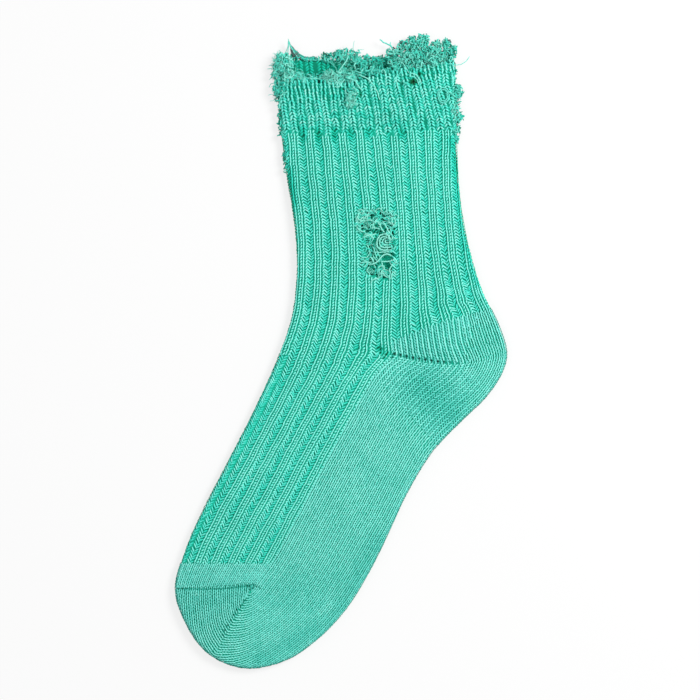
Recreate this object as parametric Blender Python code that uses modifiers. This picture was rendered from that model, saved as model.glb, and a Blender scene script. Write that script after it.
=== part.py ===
"""A distressed ribbed crew sock, laid flat on its side.

The sock is one knitted tube: a torn cuff, a ribbed leg, a heel pocket, a foot
and a toe closed by linking.  Flat, the tube is two layers of cloth that lie on
each other and roll over into one another along the shin and instep (its front
edge) and along the calf, heel and sole (its back edge).  X runs from the shin
to the calf, Y from the toe to the cuff and Z up from the table at Z = 0.
"""

import math

import bmesh
import bpy
from mathutils import Vector

MM = 0.001

# ---- driving sizes, in millimetres ----
WALL = 2.0  # thickness of the chunky rib knit
LAYER_GAP = 1.0  # space between the two layers
ROLL = (2 * WALL + LAYER_GAP) / 2  # outer radius where the cloth rolls round an edge
CROWN = 0.7  # how much higher the upper layer lies along its middle
CROWN_REACH = 26.0  # distance from an edge at which the crown is full
RELIEF_REACH = 13.0  # distance from an edge at which the pockets and creases are full
MOUTH_LIFT = 1.2  # how much the torn rim of the upper layer stands up
MOUTH_REACH = 9.0  # distance from an edge at which the mouth's lift is full
CLEAR = 0.3  # gap between touching solids
FRAY_THICKNESS = 1.5  # plain strips that stand for the loose yarn ends
YARN = 1.1  # diameter of the yarn that swings across the hole
CUTTER_TOP = 20.0  # the hole's cutter ends well above the cloth

# ---- the outline, from the cuff down to the tip of the toe ----
# name, x, y
FRONT_EDGE = (
    ("cuff_top", -31.8, 146.0),
    ("cuff", -31.6, 130.0),
    ("cuff_base", -30.4, 112.8),
    ("shin", -27.4, 87.8),
    ("low_shin", -23.4, 60.2),
    ("ankle", -22.6, 40.2),
    ("bend", -25.2, 17.8),
    ("upper_instep", -33.0, -4.8),
    ("instep", -44.4, -29.8),
    ("mid_instep", -57.2, -54.8),
    ("low_instep", -70.0, -79.8),
    ("toe_ribs_end", -78.6, -99.8),
    ("toe_seam", -83.3, -118.8),
    ("toe_side", -78.6, -134.6),
    ("toe_round", -69.0, -149.0),
    ("toe_under", -57.6, -156.2),
    ("tip", -45.2, -158.6),
)
BACK_EDGE = (
    ("cuff_top", 57.4, 150.0),
    ("cuff", 57.6, 130.0),
    ("cuff_base", 57.8, 112.8),
    ("calf", 58.6, 92.8),
    ("low_calf", 60.6, 70.2),
    ("tendon", 64.8, 50.2),
    ("heel_top", 71.4, 30.2),
    ("heel_rise", 79.6, 13.0),
    ("heel_back", 83.3, -0.4),
    ("heel_turn", 81.2, -9.8),
    ("heel_under", 73.2, -22.2),
    ("heel_end", 60.2, -35.0),
    ("arch", 46.2, -49.8),
    ("mid_sole", 33.8, -69.8),
    ("low_sole", 24.4, -89.8),
    ("ball", 14.6, -109.8),
    ("toe_ball", 2.2, -129.4),
    ("toe_pad", -12.8, -145.0),
    ("toe_tip_side", -27.8, -154.6),
    ("tip", -45.2, -158.6),
)

# Sections across the tube below the cuff: the point of the front edge, the point
# of the back edge it is paired with, and the rings from the section above.
# front, back, rings
SECTIONS = (
    ("cuff_base", "cuff_base", 1),
    ("shin", "calf", 3),
    ("low_shin", "tendon", 4),
    ("ankle", "heel_top", 3),
    ("bend", "heel_back", 4),
    ("upper_instep", "heel_under", 4),
    ("instep", "arch", 4),
    ("mid_instep", "mid_sole", 3),
    ("low_instep", "low_sole", 3),
    ("toe_ribs_end", "ball", 2),
    ("toe_seam", "toe_ball", 2),
    ("toe_side", "toe_pad", 3),
    ("toe_round", "toe_tip_side", 3),
)
CUFF_RINGS = 4
MIDDLE_COLUMNS = 9  # columns of a layer between the finer ones at its rolled edges
EDGE_COLUMNS = (0.0, 0.16, 0.55, 1.15, 2.4)  # how far in the finer ones are, in roll radii
EDGE_SHARE = 0.06  # the most of a narrow layer's width between two of the finer ones
TOE_CLOSE = 0.4  # share of the way to the tip at which the closed end starts on each edge
TOE_RINGS = (0.35, 0.65, 0.86, 0.97)  # shares of the way from the last section to the closed end

# The torn rim: how high the upper and the lower layer reach across the mouth.
# x, upper, lower
TORN_RIM = (
    (-31.8, 138.0, 138.0),
    (-25.0, 136.2, 145.6),
    (-14.0, 135.4, 146.4),
    (-5.0, 134.8, 145.4),
    (5.0, 133.4, 147.2),
    (15.0, 137.8, 145.0),
    (24.0, 140.0, 144.6),
    (32.0, 141.4, 149.4),
    (42.0, 143.8, 152.4),
    (52.0, 145.0, 151.0),
    (57.4, 145.6, 145.6),
)

# How far the loose yarn ends of each layer stand up past the torn rim.
# x, upper, lower
RIM_FRAY = (
    (-28.0, 4.0, 5.0),
    (-25.0, 6.0, 10.6),
    (-19.0, 2.6, 3.0),
    (-9.0, 2.4, 2.4),
    (-4.0, 7.0, 4.8),
    (6.0, 9.0, 3.6),
    (14.0, 4.0, 2.2),
    (22.0, 4.0, 6.6),
    (30.0, 7.4, 4.2),
    (42.0, 7.0, 7.8),
    (48.0, 5.6, 2.8),
    (54.0, 4.6, 4.0),
)
# How far they stand out past the front edge of the cuff.
# y, out
SIDE_FRAY = (
    (147.0, 1.0),
    (142.0, 2.0),
    (136.0, 3.6),
    (129.0, 2.6),
    (125.0, 1.0),
)

# Where the filled-out pockets rise over the upper layer and where it is drawn in:
# a line from one point to the other, how far to its sides it reaches, and its height.
# name, x0, y0, x1, y1, reach, height
RELIEF = (
    ("heel_pocket", 50.0, 6.0, 66.0, -6.0, 24.0, 1.3),
    ("heel_gore", 19.0, 1.4, 62.0, -5.4, 5.0, -0.6),
    ("toe_pocket", -58.0, -136.0, -26.0, -134.0, 22.0, 1.0),
    ("toe_link", -83.0, -117.6, -44.0, -116.4, 4.0, -0.5),
    ("cuff_base", -30.0, 112.4, 56.0, 112.4, 5.0, -0.4),
    ("ankle_crease", -22.0, 24.0, 8.0, 6.0, 9.0, -0.5),
)

# The worn hole through the upper layer, in the side of the leg.
# x, y
HOLE = (
    (13.4, 56.6),
    (17.6, 61.0),
    (22.6, 59.4),
    (25.2, 54.6),
    (25.4, 46.0),
    (25.8, 41.0),
    (22.6, 37.6),
    (15.6, 38.2),
    (13.2, 43.2),
    (14.4, 50.0),
)
# The last yarn of the worn cloth swings to and fro across the hole.
# x, y
RUN_YARN = (
    (16.2, 56.6),
    (21.8, 57.2),
    (23.2, 53.6),
    (17.2, 51.8),
    (17.0, 48.4),
    (23.2, 47.6),
    (23.0, 44.0),
    (16.2, 43.0),
    (16.6, 40.6),
    (22.4, 40.2),
)
RUN_YARN_STEPS = 4

CLOTH_COLOUR = (0.094, 0.56, 0.44, 1.0)
YARN_COLOUR = (0.13, 0.6, 0.49, 1.0)


def clear_scene():
    for obj in list(bpy.data.objects):
        bpy.data.objects.remove(obj, do_unlink=True)


def new_collection(name):
    collection = bpy.data.collections.new(name)
    bpy.context.scene.collection.children.link(collection)
    return collection


def new_material(name, colour, roughness):
    material = bpy.data.materials.new(name)
    material.use_nodes = True
    shader = material.node_tree.nodes["Principled BSDF"]
    shader.inputs["Base Color"].default_value = colour
    shader.inputs["Roughness"].default_value = roughness
    shader.inputs["Metallic"].default_value = 0.0
    return material


def add_object(name, data, collection, material=None):
    obj = bpy.data.objects.new(name, data)
    collection.objects.link(obj)
    if material:
        data.materials.append(material)
    return obj


def smooth_step(t):
    t = min(1.0, max(0.0, t))
    return t * t * (3.0 - 2.0 * t)


def mix(low, high, share):
    return low + (high - low) * share


def curve_through(points, steps):
    """A smooth curve through the points (centripetal Catmull-Rom)."""
    ends = [points[0] * 2 - points[1], *points, points[-1] * 2 - points[-2]]
    line = []
    for a, b, c, d in zip(ends, ends[1:], ends[2:], ends[3:]):
        t1 = (b - a).length ** 0.5
        t2 = t1 + (c - b).length ** 0.5
        t3 = t2 + (d - c).length ** 0.5
        for i in range(steps):
            t = mix(t1, t2, i / steps)
            ab = mix(a, b, t / t1)
            bc = mix(b, c, (t - t1) / (t2 - t1))
            cd = mix(c, d, (t - t2) / (t3 - t2))
            abc = mix(ab, bc, t / t2)
            bcd = mix(bc, cd, (t - t1) / (t3 - t1))
            line.append(mix(abc, bcd, (t - t1) / (t2 - t1)))
    line.append(points[-1].copy())
    return line


def distance_to_run(point, a, b):
    """Distance from a point to the straight run from a to b."""
    run = b - a
    along = min(1.0, max(0.0, (point - a).dot(run) / run.length_squared))
    return (point - a - run * along).length


def table_value(table, x, column):
    """A table's column at x, straight between its rows."""
    if x <= min(table[0][0], table[-1][0]) or x >= max(table[0][0], table[-1][0]):
        nearest = min((table[0], table[-1]), key=lambda row: abs(row[0] - x))
        return nearest[column]
    for a, b in zip(table, table[1:]):
        if min(a[0], b[0]) <= x <= max(a[0], b[0]):
            return mix(a[column], b[column], (x - a[0]) / (b[0] - a[0]))


class Edge:
    """One edge of the flat sock: a smooth curve that knows its named points."""

    STEPS = 10

    def __init__(self, table):
        self.names = [name for name, _, _ in table]
        self.line = curve_through([Vector((x, y)) for _, x, y in table], self.STEPS)

    def place(self, name):
        """Where along the curve a named point is, in steps."""
        return self.names.index(name) * self.STEPS

    def at(self, place):
        index = min(int(place), len(self.line) - 2)
        return self.line[index].lerp(self.line[index + 1], place - index)

    def between(self, start, end, share):
        return self.at(mix(self.place(start), self.place(end), share))

    def x_at(self, y):
        """The curve's x where it first comes down to a height."""
        for a, b in zip(self.line, self.line[1:]):
            if a.y >= y >= b.y:
                return mix(a.x, b.x, (a.y - y) / (a.y - b.y))
        return self.line[0].x


front_edge = Edge(FRONT_EDGE)
back_edge = Edge(BACK_EDGE)


def inset(point):
    """How far a point lies inside the outline."""
    return min(
        distance_to_run(point, a, b)
        for edge in (front_edge, back_edge)
        for a, b in zip(edge.line, edge.line[1:])
    )


def relief_at(point):
    """Height of the pockets and creases over the plain upper layer."""
    total = 0.0
    for _, x0, y0, x1, y1, reach, height in RELIEF:
        away = distance_to_run(point, Vector((x0, y0)), Vector((x1, y1)))
        total += height * smooth_step(1 - away / reach)
    return total


def on_layer(point, upper, depth, mouth=0.0):
    """A point of the outline's plane, set on the outer face of the upper or the lower layer."""
    lean = max(0.0, 1 - depth / ROLL)
    swell = ROLL * math.sqrt(1 - lean * lean)
    if not upper:
        return Vector((point.x, point.y, ROLL - swell)) * MM
    crown = CROWN * smooth_step(depth / CROWN_REACH)
    lift = MOUTH_LIFT * smooth_step(mouth) * smooth_step(depth / MOUTH_REACH)
    relief = relief_at(point) * smooth_step(depth / RELIEF_REACH)
    return Vector((point.x, point.y, ROLL + swell + crown + lift + relief)) * MM


def shares_across(width):
    """Places across a layer, from the front edge to the back edge, closer where it rolls over."""
    near = [min(radii * ROLL / width, EDGE_SHARE * i) for i, radii in enumerate(EDGE_COLUMNS)]
    step = (1 - 2 * near[-1]) / (MIDDLE_COLUMNS + 1)
    middle = [near[-1] + step * i for i in range(1, MIDDLE_COLUMNS + 1)]
    return near + middle + [1 - share for share in reversed(near)]


def ring(over, under, mouth=0.0):
    """A closed ring of points: the upper layer's from front to back, then the lower layer's."""
    last = len(over) - 1
    upper = []
    lower = []
    for i in range(last + 1):
        on_edge = i in (0, last)
        upper.append(on_layer(over[i], True, 0.0 if on_edge else inset(over[i]), mouth))
        if not on_edge:
            lower.append(on_layer(under[i], False, inset(under[i])))
    return upper + lower[::-1]


def across(front, back):
    return [front.lerp(back, share) for share in shares_across((back - front).length)]


def cuff_row(share, column):
    """A row of the cuff on one layer: from its foot (share 0) to the torn rim (share 1)."""
    front = front_edge.at(front_edge.place("cuff_base"))
    back = back_edge.at(back_edge.place("cuff_base"))
    row = []
    for place in shares_across((back - front).length):
        foot = front.lerp(back, place)
        rim = table_value(TORN_RIM, mix(TORN_RIM[0][0], TORN_RIM[-1][0], place), column)
        y = mix(foot.y, rim, share)
        row.append(Vector((mix(front_edge.x_at(y), back_edge.x_at(y), place), y)))
    return row


def tube_rings():
    """Every ring from the torn rim to the closed end of the toe."""
    rings = []
    for i in range(CUFF_RINGS, 0, -1):
        share = i / CUFF_RINGS
        rings.append(ring(cuff_row(share, 1), cuff_row(share, 2), mouth=share))
    above = SECTIONS[0]
    for section in SECTIONS:
        front_name, back_name, count = section
        for i in range(1, count + 1):
            front = front_edge.between(above[0], front_name, i / count)
            back = back_edge.between(above[1], back_name, i / count)
            row = across(front, back)
            rings.append(ring(row, row))
        above = section
    last_row = row
    closed_row = toe_arc(len(last_row))
    for share in TOE_RINGS:
        row = [a.lerp(b, share) for a, b in zip(last_row, closed_row)]
        row[0] = front_edge.between(above[0], "tip", TOE_CLOSE * share)
        row[-1] = back_edge.between(above[1], "tip", TOE_CLOSE * share)
        rings.append(ring(row, row))
    return rings, [Vector((p.x, p.y, ROLL)) * MM for p in closed_row]


def toe_arc(count):
    """Points along the outline round the tip, where the two layers meet."""
    front_start = mix(front_edge.place("toe_round"), front_edge.place("tip"), TOE_CLOSE)
    back_start = mix(back_edge.place("toe_tip_side"), back_edge.place("tip"), TOE_CLOSE)
    to_tip = front_edge.place("tip") - front_start
    length = to_tip + back_edge.place("tip") - back_start
    arc = []
    for i in range(count):
        place = length * i / (count - 1)
        if place < to_tip:
            arc.append(front_edge.at(front_start + place))
        else:
            arc.append(back_edge.at(back_start + length - place))
    return arc


def solidify(obj, thickness, offset):
    wall = obj.modifiers.new("wall", "SOLIDIFY")
    wall.thickness = thickness * MM
    wall.offset = offset
    wall.use_even_offset = True
    wall.use_quality_normals = True


def outward(mesh):
    """Turns the mesh so that its upper faces look up."""
    if sum(face.normal.z for face in mesh.faces if face.calc_center_median().z > ROLL * MM) < 0:
        bmesh.ops.reverse_faces(mesh, faces=mesh.faces)


def build_tube(collection, material):
    """The knitted tube: an open surface of rings, given its wall by Solidify."""
    rings, closed = tube_rings()
    mesh = bmesh.new()
    rows = [[mesh.verts.new(point) for point in points] for points in rings]
    count = len(rows[0])
    for row, below in zip(rows, rows[1:]):
        for i in range(count):
            j = (i + 1) % count
            mesh.faces.new((row[i], row[j], below[j], below[i]))
    end = [mesh.verts.new(point) for point in closed]
    last = rows[-1]
    half = len(end) - 1
    for i in range(half):
        mesh.faces.new((last[i], last[i + 1], end[i + 1], end[i]))
        mesh.faces.new((last[-i % count], end[i], end[i + 1], last[-(i + 1) % count]))
    bmesh.ops.recalc_face_normals(mesh, faces=mesh.faces)
    outward(mesh)
    data = bpy.data.meshes.new("knit_tube")
    mesh.to_mesh(data)
    mesh.free()
    data.shade_smooth()
    tube = add_object("knit_tube", data, collection, material)
    solidify(tube, WALL, -1.0)
    return tube


def cut_hole(tube, cutters):
    """The worn hole goes through the upper layer only."""
    mesh = bmesh.new()
    floor = (WALL + LAYER_GAP / 2) * MM
    outline = [mesh.verts.new((x * MM, y * MM, floor)) for x, y in HOLE]
    base = mesh.faces.new(outline)
    raised = bmesh.ops.extrude_face_region(mesh, geom=[base])["geom"]
    moved = [part for part in raised if isinstance(part, bmesh.types.BMVert)]
    bmesh.ops.translate(mesh, verts=moved, vec=(0, 0, CUTTER_TOP * MM))
    bmesh.ops.recalc_face_normals(mesh, faces=mesh.faces)
    data = bpy.data.meshes.new("hole_cutter")
    mesh.to_mesh(data)
    mesh.free()
    cutter = add_object("hole_cutter", data, cutters)
    cutter.hide_render = True
    cutter.display_type = "WIRE"
    cut = tube.modifiers.new("hole", "BOOLEAN")
    cut.operation = "DIFFERENCE"
    cut.solver = "EXACT"
    cut.object = cutter


def build_fray(name, roots, tips, collection, material):
    """A plain strip from the roots of the loose yarn ends to their tips."""
    mesh = bmesh.new()
    low = [mesh.verts.new(point) for point in roots]
    high = [mesh.verts.new(point) for point in tips]
    for i in range(len(low) - 1):
        mesh.faces.new((low[i], low[i + 1], high[i + 1], high[i]))
    bmesh.ops.recalc_face_normals(mesh, faces=mesh.faces)
    data = bpy.data.meshes.new(name)
    mesh.to_mesh(data)
    mesh.free()
    strip = add_object(name, data, collection, material)
    solidify(strip, FRAY_THICKNESS, 0.0)


def rim_fray_points(upper, column):
    """Roots and tips along the torn rim of one layer, in the middle of its wall."""
    roots = []
    tips = []
    for rim in cuff_row(1.0, column):
        if not RIM_FRAY[0][0] <= rim.x <= RIM_FRAY[-1][0]:
            continue
        face = on_layer(rim, upper, inset(rim), mouth=1.0)
        middle = face.z / MM - WALL / 2 if upper else face.z / MM + WALL / 2
        reach = table_value(RIM_FRAY, rim.x, column)
        roots.append(Vector((rim.x, rim.y + CLEAR, middle)) * MM)
        tips.append(Vector((rim.x, rim.y + reach, middle)) * MM)
    return roots, tips


def side_fray_points():
    """Roots and tips along the front edge of the cuff, halfway up its roll."""
    roots = [Vector((front_edge.x_at(y) - CLEAR, y, ROLL)) * MM for y, _ in SIDE_FRAY]
    tips = [Vector((front_edge.x_at(y) - out, y, ROLL)) * MM for y, out in SIDE_FRAY]
    return roots, tips


def build_run_yarn(collection, material):
    """The yarn that swings across the hole, resting on the lower layer."""
    height = WALL + CLEAR + YARN / 2
    turns = [Vector((x, y, height)) for x, y in RUN_YARN]
    path = curve_through(turns, RUN_YARN_STEPS)
    curve = bpy.data.curves.new("run_yarn", "CURVE")
    curve.dimensions = "3D"
    curve.bevel_depth = YARN / 2 * MM
    curve.bevel_resolution = 1
    curve.use_fill_caps = True
    spline = curve.splines.new("POLY")
    spline.points.add(len(path) - 1)
    for point, place in zip(spline.points, path):
        point.co = (*(place * MM), 1.0)
    add_object("run_yarn", curve, collection, material)


def main():
    clear_scene()
    sock = new_collection("holey_sock")
    cutters = new_collection("cutters")
    cloth = new_material("mint_rib_knit", CLOTH_COLOUR, 0.92)
    yarn = new_material("mint_loose_yarn", YARN_COLOUR, 0.95)
    tube = build_tube(sock, cloth)
    cut_hole(tube, cutters)
    build_fray("upper_rim_fray", *rim_fray_points(True, 1), sock, yarn)
    build_fray("lower_rim_fray", *rim_fray_points(False, 2), sock, yarn)
    build_fray("side_fray", *side_fray_points(), sock, yarn)
    build_run_yarn(sock, yarn)


main()
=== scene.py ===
import math

import bpy
import numpy as np
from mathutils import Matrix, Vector


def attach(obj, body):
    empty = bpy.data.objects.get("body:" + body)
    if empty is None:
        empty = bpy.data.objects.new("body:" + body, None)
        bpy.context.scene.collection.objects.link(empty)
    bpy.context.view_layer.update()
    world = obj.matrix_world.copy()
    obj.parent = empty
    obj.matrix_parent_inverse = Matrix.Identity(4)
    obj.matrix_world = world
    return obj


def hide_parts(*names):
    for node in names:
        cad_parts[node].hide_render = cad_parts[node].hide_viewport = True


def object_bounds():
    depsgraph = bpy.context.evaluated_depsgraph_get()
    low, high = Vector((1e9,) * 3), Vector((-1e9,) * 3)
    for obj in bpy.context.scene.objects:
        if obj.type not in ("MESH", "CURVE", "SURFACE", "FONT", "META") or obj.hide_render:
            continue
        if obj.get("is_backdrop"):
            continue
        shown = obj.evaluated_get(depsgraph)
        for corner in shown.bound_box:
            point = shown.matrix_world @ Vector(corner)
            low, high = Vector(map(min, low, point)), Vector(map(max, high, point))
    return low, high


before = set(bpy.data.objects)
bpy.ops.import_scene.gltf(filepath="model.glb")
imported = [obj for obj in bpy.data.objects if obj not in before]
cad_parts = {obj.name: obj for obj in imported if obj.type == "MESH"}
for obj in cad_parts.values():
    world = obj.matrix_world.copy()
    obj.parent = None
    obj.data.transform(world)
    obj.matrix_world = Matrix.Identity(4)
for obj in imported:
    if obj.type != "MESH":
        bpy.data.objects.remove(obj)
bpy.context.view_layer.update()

MM = 0.001
rng = np.random.default_rng(11)


def srgb(r, g, b):
    values = []
    for c in (r, g, b):
        c /= 255
        values.append(c / 12.92 if c <= 0.04045 else ((c + 0.055) / 1.055) ** 2.4)
    return (*values, 1.0)


def add_object(name, data):
    made = bpy.data.objects.new(name, data)
    bpy.context.scene.collection.objects.link(made)
    return made


# ---- camera, looking straight down on the sock from far off ----
FRAME_WIDTH, LENS, SENSOR = 0.35, 150.0, 36.0
AIM = (0.0045, 0.001, 0.004)  # the middle of the view, on the cloth
lens = bpy.data.cameras.new("camera")
lens.lens = LENS
lens.sensor_width = SENSOR
lens.clip_end = 20.0
camera = add_object("camera", lens)
camera.location = (AIM[0], AIM[1], AIM[2] + FRAME_WIDTH * LENS / SENSOR)
bpy.context.scene.camera = camera
bpy.context.scene.view_settings.view_transform = "Standard"

# ---- the knitted ring, in millimetres ----
ROLL = 2.3  # radius of the stitch crests where the cloth rolls over an edge
QUARTER = math.pi / 2 * ROLL  # cloth from a fold to the top of the roll
MID = 2.5  # height of the fold lines above the table
CROWN, CROWN_REACH = 0.7, 26.0
MOUTH_LIFT, MOUTH_REACH, MOUTH_START, MOUTH_RISE = 1.2, 9.0, 112.8, 30.0
COURSE = 1.48  # height of one row of stitches
SAMPLES = 4  # grid columns to a wale
ROW = 0.75  # grid rows are about this far apart
SIDE, UNDER_SIDE = 21, 63  # the wales at mid side, above and below; 0 is mid instep, and 84 go round
LINE_STEPS, OUT_STEP = 40, 4  # steps of a line across, and the one that gives the way out over its fold
OUTLINE_STEPS, DENSE_STEPS = 10, 60  # steps between two points of the outline
SOFT_BEND, BEND_FROM, BEND_OVER = 20.0, 11, 10  # the eased bend's reach, and the wales where it sharpens
SKEW_LIMIT = 2.4  # a stitch slides along its wale by no more than this

# The outline down each edge, from above the cuff to the toe's tip: x, y
FRONT_EDGE = (
    (-32, 160), (-31.8, 146), (-31.6, 130), (-30.4, 112.8), (-27.4, 87.8), (-23.4, 60.2), (-22.6, 40.2),
    (-25.2, 17.8), (-33, -4.8), (-44.4, -29.8), (-57.2, -54.8), (-70, -79.8), (-78.6, -99.8), (-83.3, -118.8),
    (-78.6, -134.6), (-69, -149), (-57.6, -156.2), (-45.2, -158.6),
)
BACK_EDGE = (
    (57.3, 160), (57.4, 150), (57.6, 130), (57.8, 112.8), (58.6, 92.8), (60.6, 70.2), (64.8, 50.2),
    (71.4, 30.2), (79.6, 13), (83.3, -0.4), (81.2, -9.8), (73.2, -22.2), (60.2, -35), (46.2, -49.8),
    (33.8, -69.8), (24.4, -89.8), (14.6, -109.8), (2.2, -129.4), (-12.8, -145), (-27.8, -154.6),
    (-45.2, -158.6),
)

# Lines of the knit across the sock: where each meets the front edge, the side of
# the foot (wale 21) and the back edge, and which wale lies on each fold.
# name, front x, y, side x, y, back x, y, front fold, back fold
STATIONS = (
    ("top", -32, 158, 12.5, 158, 57.3, 158, -3, 43.5),
    ("cuff", -31.7, 135, 16.4, 135, 57.5, 135, -3.1, 41.4),
    ("cuff_base", -30.4, 112.5, 20, 112.5, 57.8, 112.5, -3.4, 39),
    ("calf", -27.8, 91, 22.5, 91, 58.7, 91, -3, 39.4),
    ("shin", -25.6, 76, 24, 76, 60, 76, -2.6, 39.8),
    ("hole", -23, 54, 25.2, 54, 63.6, 54, -2.3, 40.8),
    ("ankle", -23.6, 28.5, 25.6, 28.5, 72.3, 28.5, -2.1, 42),
    ("heel_start", -29, 6, 25.2, 5, 75.4, 21.6, -2, 42),
    ("heel_rise", -30, 3.2, 25.5, 2.3, 79.8, 12.6, -2, 42),
    ("gore", -31, 0.4, 25.8, -0.8, 83.3, -0.4, -2, 42),
    ("heel_turn", -32.2, -2.6, 24.4, -2.6, 81.2, -9.8, -2, 42),
    ("heel_under", -33.4, -5.2, 22.3, -4.8, 73.2, -22.2, -2, 42),
    ("heel_end", -34.8, -8.6, 19.6, -7.4, 60.2, -35, -2, 42),
    ("arch", -36.8, -13.2, 16.4, -11.4, 48.6, -46.6, -2, 42),
    ("foot_1", -43, -26, 3.6, -34, 36, -66, -2.1, 42),
    ("foot_2", -52, -44.5, -9, -57, 28, -83, -2.1, 42.2),
    ("foot_3", -64, -68, -21, -80, 19.4, -101, -1.8, 43),
    ("ribs_end", -80.2, -105.6, -35, -105.6, 9.6, -118.6, -1, 43.6),
    ("toe_seam", -83.3, -118.4, -42.6, -115.8, 2.2, -129.4, -0.5, 43.6),
)
# Past the seam only the sole goes on: lines from the end of the seam to the outline.
# name, side x, y, back x, y, back fold
TOE = (
    ("toe_pad", -42.8, -116.6, -13, -145.2, 43.4),
    ("toe_tip_side", -43.2, -117.6, -26, -153.8, 42.6),
    ("tip", -44.2, -118.6, -38, -158, 40.6),
    ("toe_under", -44.8, -119.2, -52, -157.8, 37.6),
    ("mitre", -45.4, -119.4, -64, -153, 35.2),
    ("toe_round", -44.1, -118.9, -73, -144, 36.8),
    ("toe_side", -43, -117.7, -79.2, -132.6, 38.8),
    ("seam", -42.6, -115.8, -83.3, -118.6, 40.6),
)
CORNERS = ("gore", "mitre")  # where the knit turns sharply
# Where wale 34 (or 50 below) crosses the heel's lines, which are not evenly spread: x, y
MIDDLE = {
    "heel_start": (59.2, 17.7), "heel_rise": (60.9, 6.2), "gore": (65.4, -5), "heel_turn": (63, -9.6),
    "heel_under": (57.6, -15.6), "heel_end": (48.8, -22.6),
}
MIDDLE_WALES = 8  # from there to the fold

# The torn rim: x, height of the upper layer, of the lower layer
TORN_RIM = (
    (-31.8, 138, 138), (-25, 136.2, 147.2), (-14, 135.4, 147), (-5, 134.8, 146), (5, 133.4, 147.2),
    (15, 137.8, 145), (24, 140, 144.6), (32, 141.4, 149.4), (42, 143.8, 152.4), (52, 145, 151),
    (57.4, 145.6, 145.6),
)
# x0, y0, x1, y1, reach, height
RELIEF = (
    (50, 6, 66, -6, 24, 1.3),  # heel pocket
    (19, 1.4, 62, -5.4, 5, -0.6),  # heel gore
    (-58, -136, -26, -134, 22, 1),  # toe pocket
    (-83, -117.6, -44, -116.4, 4, -0.5),  # toe link
    (-30, 112.4, 56, 112.4, 5, -0.4),  # cuff base
    (-22, 24, 8, 6, 9, -0.5),  # ankle crease
)
# The hole's edge: x, y
HOLE = (
    (9.4, 68.6), (13, 70.4), (18, 69.8), (25, 70.2), (27.4, 66), (26.4, 58), (26, 46), (25.6, 40.4),
    (22.6, 37.4), (13.6, 38), (12.6, 44), (13, 54), (9.8, 62),
)


def smooth_step(t):
    t = np.clip(t, 0.0, 1.0)
    return t * t * (3.0 - 2.0 * t)


def length_of(v):
    return np.linalg.norm(v, axis=-1)


def unit(v):
    return v / np.maximum(length_of(v), 1e-9)[..., None]


def smooth_line(points, count):
    """A Catmull-Rom curve through points, with count steps to each; x and y set its pace."""
    knots = np.asarray(points, float)
    ends = np.concatenate([2 * knots[:1] - knots[1:2], knots, 2 * knots[-1:] - knots[-2:-1]])
    step = np.sqrt(length_of(np.diff(ends[:, :2], axis=0))) + 1e-4
    rows = []
    for i in range(len(knots) - 1):
        a, b, c, d = ends[i : i + 4]
        t1, t2, t3 = np.cumsum(step[i : i + 3])
        t = t1 + (t2 - t1) * (np.arange(count) / count)[:, None]
        ab = a + (b - a) * t / t1
        bc = b + (c - b) * (t - t1) / (t2 - t1)
        cd = c + (d - c) * (t - t2) / (t3 - t2)
        abc = ab + (bc - ab) * t / t2
        bcd = bc + (cd - bc) * (t - t1) / (t3 - t1)
        rows.append(abc + (bcd - abc) * (t - t1) / (t2 - t1))
    return np.concatenate([*rows, knots[-1:]])


front_line = smooth_line(FRONT_EDGE, OUTLINE_STEPS)
back_line = smooth_line(BACK_EDGE, OUTLINE_STEPS)
OUTLINE = np.concatenate([back_line, front_line[::-1]])


def distance_to(points, line):
    """Distance from each plan point to a polyline."""
    flat = points.reshape(-1, 2)
    best = np.full(len(flat), 1e9)
    for a, b in zip(line[:-1], line[1:]):
        run = b - a
        long = run @ run
        if long < 1e-12:
            continue
        along = np.clip((flat - a) @ run / long, 0, 1)
        best = np.minimum(best, length_of(flat - a - along[:, None] * run))
    return best.reshape(points.shape[:-1])


def inside(points, ring):
    """Which plan points lie in a polygon."""
    x, y = points[..., 0], points[..., 1]
    found = np.zeros(x.shape, bool)
    ring = np.asarray(ring, float)
    for (x0, y0), (x1, y1) in zip(ring, np.roll(ring, -1, axis=0)):
        crosses = (y0 > y) != (y1 > y)
        at = x0 + (y - y0) * (x1 - x0) / (y1 - y0 if y1 != y0 else 1e-9)
        found ^= crosses & (x < at)
    return found


def rim_height(x, upper):
    rim_x, upper_rim, lower_rim = np.array(TORN_RIM).T
    return np.where(upper, np.interp(x, rim_x, upper_rim), np.interp(x, rim_x, lower_rim))


def runs_of(line):
    """How far each point of a line is along it."""
    return np.concatenate([[0], np.cumsum(length_of(np.diff(line, axis=0)))])


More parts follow.
